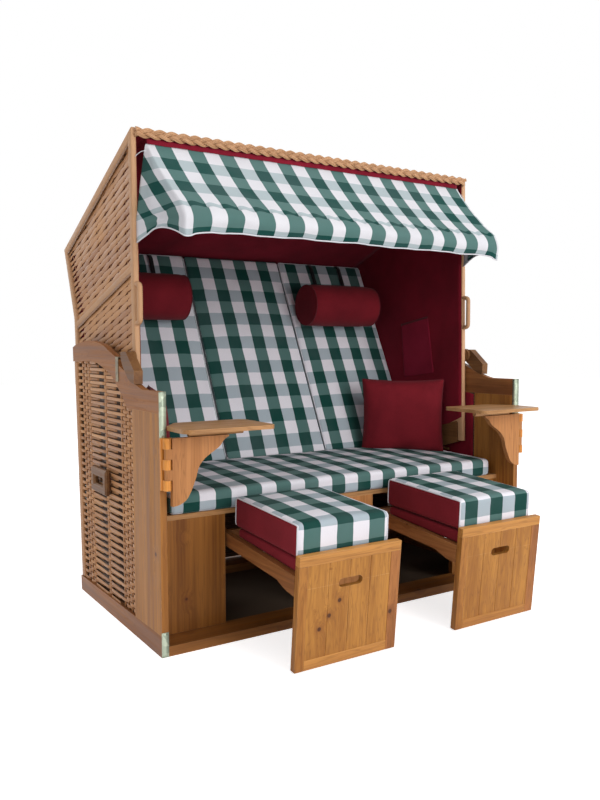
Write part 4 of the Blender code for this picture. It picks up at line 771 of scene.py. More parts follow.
def build_base_side(name, side):
    """A woven side of the base with its stakes, its wound rear band and the dark strips behind it, which are
    painted shade seen through the open columns.
    """
    weave_work, back_work = Strands(), Strands()
    out = np.array((side, 0, 0.0))
    lift, lift_back = side_lift(side, BASE_MEAN), side_lift(side, LINING_PLACE)
    low, high = SIDE_OUTLINE[1][1], SIDE_OUTLINE[3][1]
    for row, level in enumerate(np.arange(low + ROW / 2, high, ROW)):
        line = clipped((0, level), (1, level), SIDE_OUTLINE)
        if line is None:
            continue
        for part, (start, end) in enumerate(around_slot(*line)):
            flat = steps_between(start, end, BASE_STEP)
            depth = base_depth(row, flat)
            flat[:, 1] += [noise.noise(Vector((y * 9, row * 0.7, side))) * BASE_DRIFT for y in flat[:, 0]]
            weave_work.sweep(lift(flat) + out * depth[:, None], out, lens(*BASE_STRIP), tone_of(row, side, 1))
            inner = lift_back(steps_between(start, end, LINING_STEP))
            back_work.sweep(inner, out, lens(*LINING_STRIP), tone_of(row, part, 6))
    for index, place in enumerate(STAKE_LINES):
        stake = clipped((leaned(place, 0.0), 0.0), (leaned(place, 1.0), 1.0), SIDE_OUTLINE)
        path = lift(steps_between(*stake, STAKE_STEP))
        weave_work.sweep(path, out, lens(*BASE_STAKE), tone_of(index, side, 2))
    foot, head = lift(np.array([(rear_edge(z) - BAND[0] / 2 - EDGE_GAP, z) for z in BAND_ENDS]))
    wind(weave_work, foot, head, out, *BAND, BAND_TURN, BAND_GROOVE, side)
    weave_work.make("weave_" + name, CANE, "base", ["side_wicker_" + name], "cane")
    back_work.make("weave_shade_strips_" + name, SHADE_CANE, "base", slot="cane")


# Hood sides: wound beams, rails and fanned strips

HOOD_MEAN = 0.7104
HOOD_SWING = 0.0010
HOOD_PITCH = 0.0235
HOOD_STEP = 0.0055
STRIP_THICK = 0.0018
FAN_ROWS = 24
FAN_PITCHES = (1.05 * HOOD_PITCH, 0.95 * HOOD_PITCH)
FAN_REACH = (0.10, 0.16)
LOWER_ROWS = 30
LOWER_REACH = 0.12
SHORTEST_ROW = 0.03
ROW_COVER = 0.985
STAKE_PINCH = (0.33, 0.012)
REAR_PINCH = (0.36, 0.085, 0.030)
REAR_PINCH_FROM = 0.80
FRONT_PINCH = (0.18, 0.020)
FRAME_INNER = 0.7012
TURN = 0.006
GROOVE = 0.0006
CORNER_SOFTENING = 4
HOOD_STAKES = (0.345, 0.420, 0.497, 0.577, 0.662, 0.740, 0.818)
HOOD_STAKE = (0.005, 0.0024)
HOOD_STAKE_BACK = 0.0015
STAKE_KNEE = (0.319, 1.171, 0.2765)
STAKE_FAN = (0.3, 0.62 / 0.6)
STAKE_FOOT, STAKE_HEAD = 0.4, 1.6
HOOD_MIDDLE = 0.9
RAIL_HEIGHT = 0.026
RAIL_THICK = HOOD_OUTER - 0.0005 - FRAME_INNER
RAIL_CORNER = 0.006
RAIL_TUCK = 0.008
SCALLOP = (0.008, 0.003, 0.0024)
SCALLOP_WAVE = (0.0012, 0.024)
SCALLOP_PLACE = HOOD_OUTER - 0.0035
SCALLOP_INSETS = (0.004, 0.002)
SCALLOP_STEP = 0.004
ROW_OVERRUN = 0.02


def inset_ring(points, distance):
    """A closed outline moved inwards. Its points run anticlockwise."""
    points = np.asarray(points, float)
    ahead = unit(np.roll(points, -1, 0) - points)
    inward = np.column_stack([-ahead[:, 1], ahead[:, 0]])
    moved = []
    for index in range(len(points)):
        a, da = points[index - 1] + inward[index - 1] * distance, ahead[index - 1]
        b, db = points[index] + inward[index] * distance, ahead[index]
        cross = da[0] * db[1] - da[1] * db[0]
        share = ((b - a)[0] * db[1] - (b - a)[1] * db[0]) / cross
        moved.append(a + da * share)
    return np.array(moved)


WINDOW = inset_ring(HOOD_RING, BEAM)


def rounded_path(points, radii, spacing):
    """An open path through points whose corners are rounded, with even stations."""
    points = np.asarray(points, float)
    out = [points[0]]
    for index in range(1, len(points) - 1):
        before = unit(points[index - 1] - points[index])
        after = unit(points[index + 1] - points[index])
        half = np.arccos(np.clip(before @ after, -1, 1)) / 2
        reach = radii[index - 1] / tan(half)
        start, end = points[index] + before * reach, points[index] + after * reach
        for t in np.linspace(0, 1, 7):
            out.append(start * (1 - t) ** 2 + 2 * points[index] * t * (1 - t) + end * t ** 2)
    out.append(points[-1])
    out = np.array(out)
    along = np.concatenate([[0], np.cumsum(np.linalg.norm(np.diff(out, axis=0), axis=1))])
    stations = np.linspace(0, along[-1], max(2, int(along[-1] / spacing)))
    return np.column_stack([np.interp(stations, along, out[:, axis]) for axis in range(out.shape[1])])


def wound_beam(strands, flat_path, side, tone):
    """The middle rail in the side's plane, wound with strip."""
    base = box_section(RAIL_HEIGHT, RAIL_THICK, RAIL_CORNER)
    shrink = 1 - 2 * GROOVE / RAIL_THICK
    sections = np.stack([base * (shrink if index % 3 == 0 else 1) for index in range(len(flat_path))])
    strands.sweep(side_lift(side, FRAME_INNER + RAIL_THICK / 2)(flat_path), (side, 0, 0), sections, tone)


def hood_rows():
    """Strips of the side: a fan above the middle rail, and rows beside the rail below it."""
    front_up = unit(np.array((POST_LEAN, 1.0)))
    rear_up = unit(np.subtract(HOOD_RING[5], HOOD_RING[4]))
    rear, front = (np.array(point) for point in MID_RAIL)
    rail = unit(rear - front)
    first = RAIL_HEIGHT / 2 + HOOD_PITCH / 2
    rows = []
    for index in range(FAN_ROWS):
        start = front + front_up * (first + index * FAN_PITCHES[0]) - rail * FAN_REACH[0]
        end = rear + rear_up * (first + index * FAN_PITCHES[1]) + rail * FAN_REACH[1]
        rows.append(clipped(start, end, WINDOW))
    for index in range(LOWER_ROWS):
        down = first + index * HOOD_PITCH
        start = front - front_up * down - rail * LOWER_REACH
        end = rear - np.array((0, down)) + rail * LOWER_REACH
        rows.append(clipped(start, end, WINDOW))
    return [row for row in rows if row is not None and np.linalg.norm(row[1] - row[0]) > SHORTEST_ROW]


def softened_rim(line, outer):
    """Even stations along an outline, as many as its outer one needs, with the corners eased."""
    line = np.asarray(line, float)
    stations = [line[:1]]
    for index in range(len(line) - 1):
        reach = np.linalg.norm(np.subtract(outer[index + 1], outer[index]))
        share = np.linspace(0, 1, max(2, int(reach / (TURN / 3))) + 1)[1:, None]
        stations.append(line[index] + (line[index + 1] - line[index]) * share)
    rim = np.vstack(stations)
    for _ in range(CORNER_SOFTENING):
        rim[1:-1] = rim[1:-1] * 0.5 + (rim[:-2] + rim[2:]) * 0.25
    return rim


def mitred_beam(strands, outer, inner, side, tone):
    """A wound beam between two outlines with the same corners. Its turns are mitred at the corners."""
    high, low = softened_rim(outer, outer), softened_rim(inner, outer)
    middle = (high + low) / 2
    half = (high - low) / 2
    width = np.linalg.norm(half, axis=1, keepdims=True)
    across = half / width
    thick = (HOOD_OUTER - FRAME_INNER) / 2
    base = box_section(2.0, 2.0, 0.4) * (1.0, thick)
    shrink = np.where(np.arange(len(middle)) % 3 == 0, 1 - GROOVE / thick, 1.0)[:, None]
    flat = middle[:, None] + across[:, None] * (base[None, :, :1] * (width * shrink)[:, None])
    out = side * ((FRAME_INNER + HOOD_OUTER) / 2 + base[None, :, 1] * shrink)
    ring = np.concatenate([out[..., None], flat], -1)
    facing = np.cross(ring[1, 0] - ring[0, 0], ring[0, 1] - ring[0, 0]) @ (ring[0, 0] - ring[0].mean(0))
    path = side_lift(side, FRAME_INNER)(middle)
    strands.rings(path, ring[:, ::-1] if facing < 0 else ring, tone)


def hood_stake_lines():
    """Upright stakes, which lean back towards the rear above the middle rail."""
    lines = []
    knee_y, knee_z, slope = STAKE_KNEE
    fan_y, fan = STAKE_FAN
    for place in HOOD_STAKES:
        knee = np.array((place, knee_z - (place - knee_y) * slope))
        rise = STAKE_HEAD - knee[1]
        top = knee + np.array(((place - fan_y) * fan * rise, rise))
        for start, end in ((np.array((place, STAKE_FOOT)), knee), (knee, top)):
            line = clipped_ray(start, end)
            if line is not None:
                lines.append(line)
    return lines


def clipped_ray(start, end):
    """The part of a line inside the hood's window, where one end may already lie inside."""
    shares = crossings(start, end, WINDOW)
    if not shares:
        return None
    line = end - start
    if len(shares) >= 2:
        return start + line * shares[0], start + line * shares[-1]
    inside_end = end if start[1] < HOOD_MIDDLE else start
    return tuple(sorted((start + line * shares[0], inside_end), key=lambda point: point[1]))


def row_width(share, length, meets, rear):
    """A strip's width: narrower where it passes a stake, near the post and beside the rear beam."""
    narrow, reach = STAKE_PINCH
    pinch = sum(np.exp(-((share - s) * length / reach) ** 2) for s, _ in meets) if meets else 0
    rear_narrow, rear_from, rear_ramp = REAR_PINCH
    rear_gap = np.clip((share * length - (length - rear_from)) / rear_ramp, 0, 1) * (rear > REAR_PINCH_FROM)
    front_narrow, front_ramp = FRONT_PINCH
    front_gap = np.clip((front_ramp - share * length) / front_ramp, 0, 1)
    return HOOD_PITCH * (ROW_COVER - narrow * pinch - rear_narrow * rear_gap - front_narrow * front_gap)


def build_hood_weave(name, side):
    """A woven side of the hood: stakes, and strips that pass them outside and inside by turns."""
    out = np.array((side, 0, 0.0))
    lift = side_lift(side, HOOD_MEAN)
    work = Strands()
    stakes = hood_stake_lines()
    for index, stake in enumerate(stakes):
        path = lift(steps_between(*stake, STAKE_STEP)) - out * HOOD_STAKE_BACK
        work.sweep(path, out, lens(*HOOD_STAKE), tone_of(index, 4, side))
    for row, (start, end) in enumerate(hood_rows()):
        found = ((crossing(start, end, *stake), index // 2) for index, stake in enumerate(stakes))
        meets = sorted((share, index) for share, index in found if share is not None)
        knots = [(-ROW_OVERRUN, 1 if row % 2 else -1)]
        knots += [(s, 1 if (index + row) % 2 else -1) for s, index in meets]
        knots.append((1 + ROW_OVERRUN, -knots[-1][1]))
        flat = steps_between(start, end, HOOD_STEP)
        share = np.linspace(0, 1, len(flat))
        sign = eased(share, *np.array(knots, float).T)
        widths = row_width(share, np.linalg.norm(end - start), meets, end[0])
        path = lift(flat) + out * (sign * HOOD_SWING)[:, None]
        work.sweep(path, out, np.stack([lens(width, STRIP_THICK) for width in widths]), tone_of(row, 8, side))
    work.make("hood_weave_" + name, CANE, "hood", ["hood_wicker_" + name], "cane")


def mid_rail():
    """The middle rail's direction, and its ends at the frame's inner edge."""
    rear, front = (np.array(point) for point in MID_RAIL)
    rail = unit(rear - front)
    return rail, *clipped(front - rail, rear + rail, WINDOW)


def build_hood_beams(name, side):
    """The hood's wound frame: the outline with its mitred corners, and the middle rail."""
    work = Strands()
    foot = post_front(LEG_BOTTOM)
    outline = [(foot, LEG_BOTTOM)] + [tuple(point) for point in HOOD_RING[::-1]]
    inside = [(foot + BEAM, LEG_BOTTOM)] + [tuple(point) for point in WINDOW[::-1]]
    mitred_beam(work, outline, inside, side, tone_of(side, 1, 9))
    rail, start, end = mid_rail()
    path = rounded_path([start - rail * RAIL_TUCK, end + rail * RAIL_TUCK], [], TURN / 3)
    wound_beam(work, path, side, tone_of(side, 2, 9))
    work.make("hood_beams_" + name, WOUND, "hood", ["hood_frame_" + name], "cane")


def build_hood_scallops(name, side):
    """Scalloped strips under the roof beam and under the middle rail, coloured darker as painted shade below
    the beams.
    """
    work = Strands()
    _, start, end = mid_rail()
    below = (0, RAIL_HEIGHT / 2)
    width, swell, thick = SCALLOP
    depth, spacing = SCALLOP_WAVE
    for (a, b), inset in zip(((WINDOW[6], WINDOW[5]), (start - below, end - below)), SCALLOP_INSETS):
        path = steps_between(a, b, SCALLOP_STEP)
        along = unit(np.subtract(b, a))
        drop = np.array((along[1], -along[0]))
        wave = 0.5 + 0.5 * np.cos(2 * pi * np.linalg.norm(path - path[0], axis=1) / spacing)
        path = path + drop * (inset + depth * wave)[:, None]
        sections = np.stack([lens(width + swell * w, thick) for w in wave])
        work.sweep(side_lift(side, SCALLOP_PLACE)(path), (side, 0, 0), sections, tone_of(side, 7, 7))
    work.make("hood_scallop_" + name, SHADE_SCALLOP_CANE, "hood", slot="cane")


# Roof, back and the base's rear wall

WALL_HALF = 0.6995
WALL_STAKES = 17
WALL_STAKE = (0.008, 0.003)
WALL_STAKE_INSET = (0.03, 0.002)
WALL_STAKE_STEP = 0.12
WALL_FULL = 0.9
WALL_SWING = 0.0026
WALL_STEP = 0.0165
WALL_COVER = 0.965
WALL_PINCH = 0.15
ROOF_RECESS = 0.0085
BACK_LINE = ((0.882, 0.606), (0.905, 0.930), (0.911, 1.022), (1.030, 1.297))
BACK_RADII = (0.05, 0.10)
BACK_RECESS = 0.0055
BACK_STEP = 0.0166
BACK_STAKE_HALF = 0.669
REAR_ENDS = (0.036, 0.419)
REAR_PITCH = 0.0170
REAR_RECESS = 0.0070
REAR_NOTCH = 0.315
REAR_WIDE, REAR_NARROW = 0.7285, 0.689
REAR_COVER = 1.02
BACKING_LEVELS = (0.040, 0.417, 0.0165)
BACKING_STRIP = (0.0162, 0.0012)
BACKING_RECESS = 0.0125
BACKING_SHORTER = 0.001


def weave_row(work, line, out, sign, pitch, cover, tone):
    """A level strip that swings out and in between the stakes and is narrower where it passes inside."""
    widths = pitch * (cover - WALL_PINCH * np.clip(-sign, 0, 1))
    path = line + out * (sign * WALL_SWING)[:, None]
    work.sweep(path, out, np.stack([lens(width, STRIP_THICK) for width in widths]), tone)


def build_flat_weave(name, body, node, low, high, reach, recess, pitch, outward, cover):
    """Level strips across the chair on a leaning plane between two lines of depth and height.
    Reach gives the wall's half width at a distance up from its low line."""
    low, high = np.asarray(low, float), np.asarray(high, float)
    rise = high - low
    length = float(np.linalg.norm(rise))
    out = np.array((0, *outward), float)
    lift = lambda flat: np.column_stack([flat[:, 0], low + flat[:, 1:2] * unit(rise)]) - out * recess
    work = Strands()
    aside, ends = WALL_STAKE_INSET
    half = reach(0) - aside
    places = np.linspace(-half, half, WALL_STAKES)
    for index, place in enumerate(places):
        if abs(place) < reach(length * WALL_FULL):
            stake = steps_between((place, ends), (place, length - ends), WALL_STAKE_STEP)
            work.sweep(lift(stake), out, lens(*WALL_STAKE), tone_of(index, 2, 7))
    count = int(length / pitch)
    for row in range(count):
        level = (row + 0.5) * length / count
        wide = reach(level)
        flat = steps_between((-wide, level), (wide, level), WALL_STEP)
        sign = np.cos(pi * (np.interp(flat[:, 0], places, np.arange(WALL_STAKES)) + row))
        weave_row(work, lift(flat), out, sign, length / count, cover, tone_of(row, 3, 8))
    work.make(name, CANE, body, [node], "cane")


def build_back_weave():
    """The hood's woven back, which bends with the frame's rear edge."""
    path = rounded_path(BACK_LINE, BACK_RADII, 0.004)
    ahead = unit(np.gradient(path, axis=0))
    outward = np.column_stack([ahead[:, 1], -ahead[:, 0]])
    along = np.concatenate([[0], np.cumsum(np.linalg.norm(np.diff(path, axis=0), axis=1))])
    across = np.linspace(-BACK_STAKE_HALF, BACK_STAKE_HALF, WALL_STAKES)
    work = Strands()
    for index, place in enumerate(across):
        stake = np.column_stack([np.full(len(path), place), path - outward * BACK_RECESS])
        normal = np.column_stack([np.zeros(len(path)), outward])
        work.sweep(stake[::4], normal[::4], lens(*WALL_STAKE), tone_of(index, 1, 5))
    places = np.arange(-WALL_HALF, WALL_HALF + 0.0001, BACK_STEP)
    count = int(along[-1] / HOOD_PITCH)
    for row in range(count):
        level = (row + 0.5) * along[-1] / count
        spot = [np.interp(level, along, path[:, axis]) for axis in (0, 1)]
        out = np.array([0.0] + [np.interp(level, along, outward[:, axis]) for axis in (0, 1)])
        sign = np.cos(pi * (np.interp(places, across, np.arange(WALL_STAKES)) + row))
        line = np.column_stack([places, np.tile(spot, (len(places), 1))]) - out * BACK_RECESS
        weave_row(work, line, out, sign, HOOD_PITCH, WALL_COVER, tone_of(row, 6, 3))
    work.make("back_weave", CANE, "hood", ["hood_back"], "cane")


def build_walls():
    """The hood's roof and back and the base's rear wall, woven on their outside."""
    build_flat_weave("roof_weave", "hood", "hood_roof", ROOF_LINE[1], ROOF_LINE[0], lambda level: WALL_HALF,
                     ROOF_RECESS, HOOD_PITCH, ROOF_OUT, WALL_COVER)
    build_back_weave()
    notch = REAR_NOTCH - REAR_ENDS[0]
    low, high = ((rear_edge(level) - EDGE_GAP, level) for level in REAR_ENDS)
    build_flat_weave("rear_weave", "base", "rear_wicker", low, high,
                     lambda level: REAR_WIDE if level < notch else REAR_NARROW,
                     REAR_RECESS, REAR_PITCH, BASE_OUT[1:], REAR_COVER)


def build_rear_backing():
    """Dark strips that close the rear wall's gaps from the inside, coloured as painted shade."""
    work = Strands()
    for row, level in enumerate(np.arange(*BACKING_LEVELS)):
        half = (REAR_WIDE if level < REAR_NOTCH else REAR_NARROW) - BACKING_SHORTER
        ends = np.array([(x, rear_edge(level) - EDGE_GAP, level) for x in (-half, half)])
        work.sweep(ends - BASE_OUT * BACKING_RECESS, BASE_OUT, lens(*BACKING_STRIP), tone_of(row, 4, 4))
    work.make("rear_backing", SHADE_CANE, "base", slot="cane")


# Linings, flat sheets stretched inside the hood

LINING_THICK = 0.0008
LINING_INNER = 0.7004
LINING_INSET = 0.004
LINING_HALF = 0.6985
LINING_RECESS = 0.0150
LINING_GRID = (30, 34)
WALL_GRID = (24, 44)
LINING_WAVE = 0.0006
UPPER_BACK = ((1.030, 1.297), (0.914, 1.022))
UPPER_BACK_OUT = (0.921, -0.389)
POCKET = ((0.430, 0.800), (0.625, 0.775), (0.650, 1.010), (0.470, 1.040))
POCKET_GAP = 0.0032
POCKET_THICK = 0.0012
HEM_GAP = 0.0036
HEM_STEP = 0.0079
HEM_STRIP = (0.010, 0.0016)
BASE_LINING = ((0.222, 0.402), (0.800, 0.402), (0.829, 0.850), (0.606, 0.852), (0.507, 0.838), (0.399, 0.805),
               (0.300, 0.742), (0.268, 0.716), (0.222, 0.716))
BASE_LINING_INNER = 0.7302


def polygon_sheet(name, outline, place, material, body, thick=LINING_THICK):
    """A stretched sheet cut to an outline in depth and height, cut fine enough to sag a little."""
    outline = np.asarray(outline, float)
    low, high = outline.min(0), outline.max(0)
    columns, rows = LINING_GRID
    levels = np.linspace(low[1] + 0.0005, high[1] - 0.0005, rows)
    points, uvs = [], []
    for level in levels:
        start, end = clipped((low[0] - 1, level), (high[0] + 1, level), outline)
        line = start + (end - start) * np.linspace(0, 1, columns)[:, None]
        wave = np.array([noise.noise(Vector((y * 5, z * 5, place))) for y, z in line]) * LINING_WAVE
        points.append(np.column_stack([place - np.sign(place) * np.abs(wave), line]))
        uvs.append(line)
    sheet = cloth_grid(name, points, uvs, material, body, thick)


def build_linings():
    """Canvas over the inside of the hood's sides, roof and upper back, and the pocket on the right side."""
    for name, side in SIDES:
        polygon_sheet("side_lining_" + name, inset_ring(HOOD_RING, LINING_INSET), side * LINING_INNER, LINING,
                      "hood")
    walls = (("roof_lining", ROOF_LINE, ROOF_OUT), ("back_lining", UPPER_BACK, UPPER_BACK_OUT))
    for name, line, outward in walls:
        first, last = (np.array(point) - np.array(outward) * LINING_RECESS for point in line)
        length = float(np.linalg.norm(last - first))
        grid = blend_grid([(-LINING_HALF, *first), (LINING_HALF, *first), (LINING_HALF, *last),
                           (-LINING_HALF, *last)], *WALL_GRID)
        width = 2 * LINING_HALF
        uvs = blend_grid([(0, 0), (width, 0), (width, length), (0, length)], *WALL_GRID)
        sheet = cloth_grid(name, grid, uvs, LINING, "hood", LINING_THICK)
    polygon_sheet("side_pocket", POCKET, LINING_INNER - POCKET_GAP, POCKET_RED, "hood", POCKET_THICK)
    hem = Strands()
    rim = side_lift(1, LINING_INNER - HEM_GAP)(steps_between(POCKET[3], POCKET[2], HEM_STEP))
    hem.sweep(rim, (-1, 0, 0), lens(*HEM_STRIP), 0.5)
    hem.make("pocket_hem", RED_TRIM, "hood", slot="canvas")


def build_base_linings():
    """Canvas over the inside of the base's woven sides, above the seat board."""
    for name, side in SIDES:
        polygon_sheet("base_lining_" + name, BASE_LINING, side * BASE_LINING_INNER, LINING, "base")


# Metal strips on the front posts

EDGE_STRIPS = ((0.6395, 0.7862), (0.0010, 0.075))
STRIP_METAL = 0.0011
STRIP_LEG = 0.011
STRIP_GAP = 0.0001
STRIP_RINGS = 8


def build_edge_strips():
    """Folded metal strips over the front posts' narrow edges, at the top and at the foot."""
    outer, inner = OUTER + STRIP_METAL * 0.2, BOARD_INNER - STRIP_METAL
    section = [(outer, -STRIP_METAL), (outer, -STRIP_GAP), (inner + STRIP_METAL, -STRIP_GAP),
               (inner + STRIP_METAL, STRIP_LEG), (inner, STRIP_LEG), (inner, -STRIP_METAL)]
    for name, side in SIDES:
        work = Strands()
        for low, high in EDGE_STRIPS:
            levels = np.linspace(low, high, STRIP_RINGS)
            ring = np.array([[(side * x, y, level) for x, y in section] for level in levels])
            path = side_lift(side, outer)(np.column_stack([np.zeros(STRIP_RINGS), levels]))
            work.rings(path, ring[:, ::-1] if side > 0 else ring, 0.5)
        work.make("edge_strip_" + name, ZINC, "base", slot="zinc")


# Awning

CHECK_PITCH = (0.1133, 0.1165)
DARK_START = (-0.6422, 0.0610)
CREASE_TUCK = 0.035
TOP_HALF = 0.668
BAR_HALF = 0.650
TOP_LEVEL = 1.556
BAR = (0.045, 1.340)
DROP = 0.078
GORE_X = 0.7075
GORE_CREASE = 1.315
GORE_HEM = 1.245
PUCKER = 0.006
PUCKERS = 12
SLOPE_SAG = 0.010
VALANCE_BULGE = 0.024
HEM_FORWARD = 0.012
CORNER_DIP = 0.018
GORE_RISE = 0.035
TOP_GAP = 0.0019
CORNER_REACH = 0.045
SAG_WAY = (0.69, -0.72)
LOOSE = 0.006
HEM_WAVE = 0.007
CREASE_REACH = 0.05
CREASE_PUSH = (0.005, -0.003)
PUCKER_SHIFT = 0.004
PUCKER_LIFT = 0.6
BAR_RIPPLE = (0.004, 0.09)
GORE_START = TOP_HALF + 0.004
GORE_GAP = 0.0016
GORE_WIDENING = (0.85, 0.5)
BELLY = 0.010
SLOPE_STEPS, FALL_STEPS, ACROSS_STEPS, GORE_STEPS = 44, 19, 241, 19
CLOTH_THICK = 0.0016
HEM_CORD = (0.0026, 0.0012)
TIE_KNOT = (TOP_HALF + 0.008, 0.018, 1.530)
TIE_POST = (GORE_X, 0.0025, 1.512)
TIE_CORD = (0.0009, 0.006, 0.004)
FRONT_BAND = (0.668, 1.5545, 1.5745)
BAND_GRID = (60, 5)
BAND_WAVE = (0.0022, 0.0008, 60)
BAND_THICK = 0.0012


def awning_spot(across, drop, gore):
    """A point of the cloth. Across runs -1 to 1, drop 0 to 1 down the slope and to 2 at the hem,
    and gore 0 to 1 from the bow's corner back to the post."""
    top_y = post_front(TOP_LEVEL) - TOP_GAP
    slope = min(drop, 1.0)
    fall = max(drop - 1.0, 0.0)
    corner = np.exp(-((1 - abs(across)) * BAR_HALF / CORNER_REACH) ** 2)
    sag = SLOPE_SAG * 4 * slope * (1 - slope) * (drop <= 1)
    y = top_y + (BAR[0] - top_y) * slope + sag * SAG_WAY[0]
    z = TOP_LEVEL + (BAR[1] - TOP_LEVEL) * slope - DROP * fall - CORNER_DIP * corner * fall + sag * SAG_WAY[1]
    half = TOP_HALF + (BAR_HALF - TOP_HALF) * slope
    trough = (sin(across * PUCKERS * pi) - 1) / 2
    fold = PUCKER * slope ** 3 * (1 + 0.5 * fall)
    loose = noise.noise(Vector((across * 7, drop * 2.5, 3))) * LOOSE * slope * (1 - 0.5 * fall)
    hem = noise.noise(Vector((across * 4.0, 1.7, 9))) * HEM_WAVE * fall
    bulge = VALANCE_BULGE * sin(pi * fall) * (1 - 0.5 * corner) + HEM_FORWARD * fall
    crease = np.exp(-((drop - 1) / CREASE_REACH) ** 2)
    swell, reach = BAR_RIPPLE
    ripple = swell * cos(across * PUCKERS * pi * 2 + 1) * np.exp(-((drop - 1) / reach) ** 2)
    point = np.array((across * half + PUCKER_SHIFT * sin(across * PUCKERS * pi * 2) * slope ** 3,
                      y + fold * trough + loose - bulge + CREASE_PUSH[0] * crease * (fall > 0),
                      z + fold * trough * PUCKER_LIFT * (drop <= 1) + ripple + CREASE_PUSH[1] * crease + hem))
    if gore <= 0:
        return point
    side = np.sign(across)
    rear_z = TOP_LEVEL + (GORE_CREASE - TOP_LEVEL) * slope + (GORE_HEM - GORE_CREASE) * fall
    widening = min(1.0, slope ** GORE_WIDENING[0] + GORE_WIDENING[1] * fall)
    rear_x = GORE_START + (GORE_X - GORE_START) * widening
    rear = np.array((side * rear_x, post_front(rear_z) - GORE_GAP, rear_z))
    mixed = point * (1 - gore) + rear * gore
    belly = noise.noise(Vector((gore * 3, drop * 3, side))) * BELLY * gore * (1 - gore) * 4 * slope
    return mixed + np.array((side * belly, 0, GORE_RISE * fall * sin(pi * gore)))


def build_awning_ties():
    """Short cords from the awning's top corners back to the posts."""
    ties = Strands()
    radius, rise, step = TIE_CORD
    for side in (-1, 1):
        knot, post = (np.array((side * x, post_front(z) - gap, z)) for x, gap, z in (TIE_KNOT, TIE_POST))
        cord = steps_between(knot, post, step)
        cord[:, 2] += rise * np.sin(np.linspace(0, pi, len(cord)))
        ties.sweep(cord, (0, -1, 0), round_section(radius, 5), 0.5)
    ties.make("awning_ties", WHITE_TRIM, "hood", slot="gingham")


def build_awning():
    """The checked cloth from the hood's top over the bow, with its gores and its piped hem."""
    slope_drops = np.linspace(0, 1, SLOPE_STEPS)
    falls = np.linspace(0, 1, FALL_STEPS)[1:]
    across = np.linspace(-1, 1, ACROSS_STEPS)
    gores = np.linspace(0, 1, GORE_STEPS)
    grid = []
    for drop in np.concatenate([slope_drops, 1 + falls]):
        row = [awning_spot(-1, drop, g) for g in gores[::-1]]
        row += [awning_spot(a, drop, 0) for a in across[1:-1]]
        row += [awning_spot(1, drop, g) for g in gores]
        grid.append(row)
    grid = np.array(grid)
    gore_lengths = np.linalg.norm(np.diff(grid[:, :GORE_STEPS], axis=1), axis=2)
    slope_length = float(np.hypot(post_front(TOP_LEVEL) - TOP_GAP - BAR[0], TOP_LEVEL - BAR[1]))
    uvs = np.zeros(grid.shape[:2] + (2,))
    for index, steps in enumerate(gore_lengths):
        along = np.concatenate([[0], np.cumsum(steps)])
        left = -TOP_HALF - (along[-1] - along)
        uvs[index, :, 0] = np.concatenate([left, across[1:-1] * TOP_HALF, -left[::-1]])
    lengths = np.concatenate([slope_drops * slope_length, slope_length + CREASE_TUCK + falls * DROP])
    uvs[:, :, 1] = lengths[:, None]
    uvs = (uvs - DARK_START) / CHECK_PITCH + 0.25
    cloth = cloth_grid("awning_cloth", grid, uvs, AWNING_CHECK, None, CLOTH_THICK, ["awning"])
    radius, down = HEM_CORD
    hem = Strands()
    hem.sweep(grid[-1] - np.array((0, 0, down)), (0, -1, 0.05), round_section(radius, 6), 0.5)
    piping = hem.make("awning_piping", WHITE_TRIM, None, slot="gingham")
    for piece in (cloth, piping):
        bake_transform(piece)
    build_awning_ties()


def build_red_band():
    """The bright canvas band between the plait and the awning's top edge."""
    half, low, high = FRONT_BAND
    gap, wave, pace = BAND_WAVE
    xs = np.linspace(-half, half, BAND_GRID[0])
    levels = np.linspace(low, high, BAND_GRID[1])
    grid = [[(x, post_front(z) - gap - wave * sin(x * pace), z) for x in xs] for z in levels]
    uvs = [[(x, z) for x in xs] for z in levels]
    band = cloth_grid("front_band", grid, uvs, BAND_RED, "hood", BAND_THICK)


# Cushions

BOX_SIDES = ("top", "front", "back", "bottom", "left", "right")
EDGE_SHARES = (0.0, 0.3, 0.65)
MOST_ROUND = 0.49
DRAW_FADE = 0.6
CREASE_SCALES = (9, 22)
EDGE_STEPS = (12, 40)
EDGE_RISE = (0.002, -0.001)


def lines(half, corner, count):
    """Grid lines across a box face, closer at its rounded edges."""
    edge = np.array(EDGE_SHARES) * corner
    flat = np.linspace(-half + corner, half - corner, count)
    return np.concatenate([-half + edge, flat, (half - edge)[::-1]])


def box_surface(xs, ys, zs):
    """Outward quads over a box. Returns its points, faces and the side of each face."""
    index, points, faces, sides = {}, [], [], []

    def at(*key):
        if key not in index:
            index[key] = len(points)
            points.append((xs[key[0]], ys[key[1]], zs[key[2]]))
        return index[key]

    nx, ny, nz = len(xs) - 1, len(ys) - 1, len(zs) - 1
    for i in range(nx):
        for j in range(ny):
            faces.append((at(i, j, nz), at(i + 1, j, nz), at(i + 1, j + 1, nz), at(i, j + 1, nz)))
            faces.append((at(i, j, 0), at(i, j + 1, 0), at(i + 1, j + 1, 0), at(i + 1, j, 0)))
            sides += ["top", "bottom"]
        for k in range(nz):
            faces.append((at(i, 0, k), at(i + 1, 0, k), at(i + 1, 0, k + 1), at(i, 0, k + 1)))
            faces.append((at(i, ny, k), at(i, ny, k + 1), at(i + 1, ny, k + 1), at(i + 1, ny, k)))
            sides += ["front", "back"]
    for j in range(ny):
        for k in range(nz):
            faces.append((at(0, j, k), at(0, j, k + 1), at(0, j + 1, k + 1), at(0, j + 1, k)))
            faces.append((at(nx, j, k), at(nx, j + 1, k), at(nx, j + 1, k + 1), at(nx, j, k + 1)))
            sides += ["left", "right"]
    return np.array(points), faces, sides


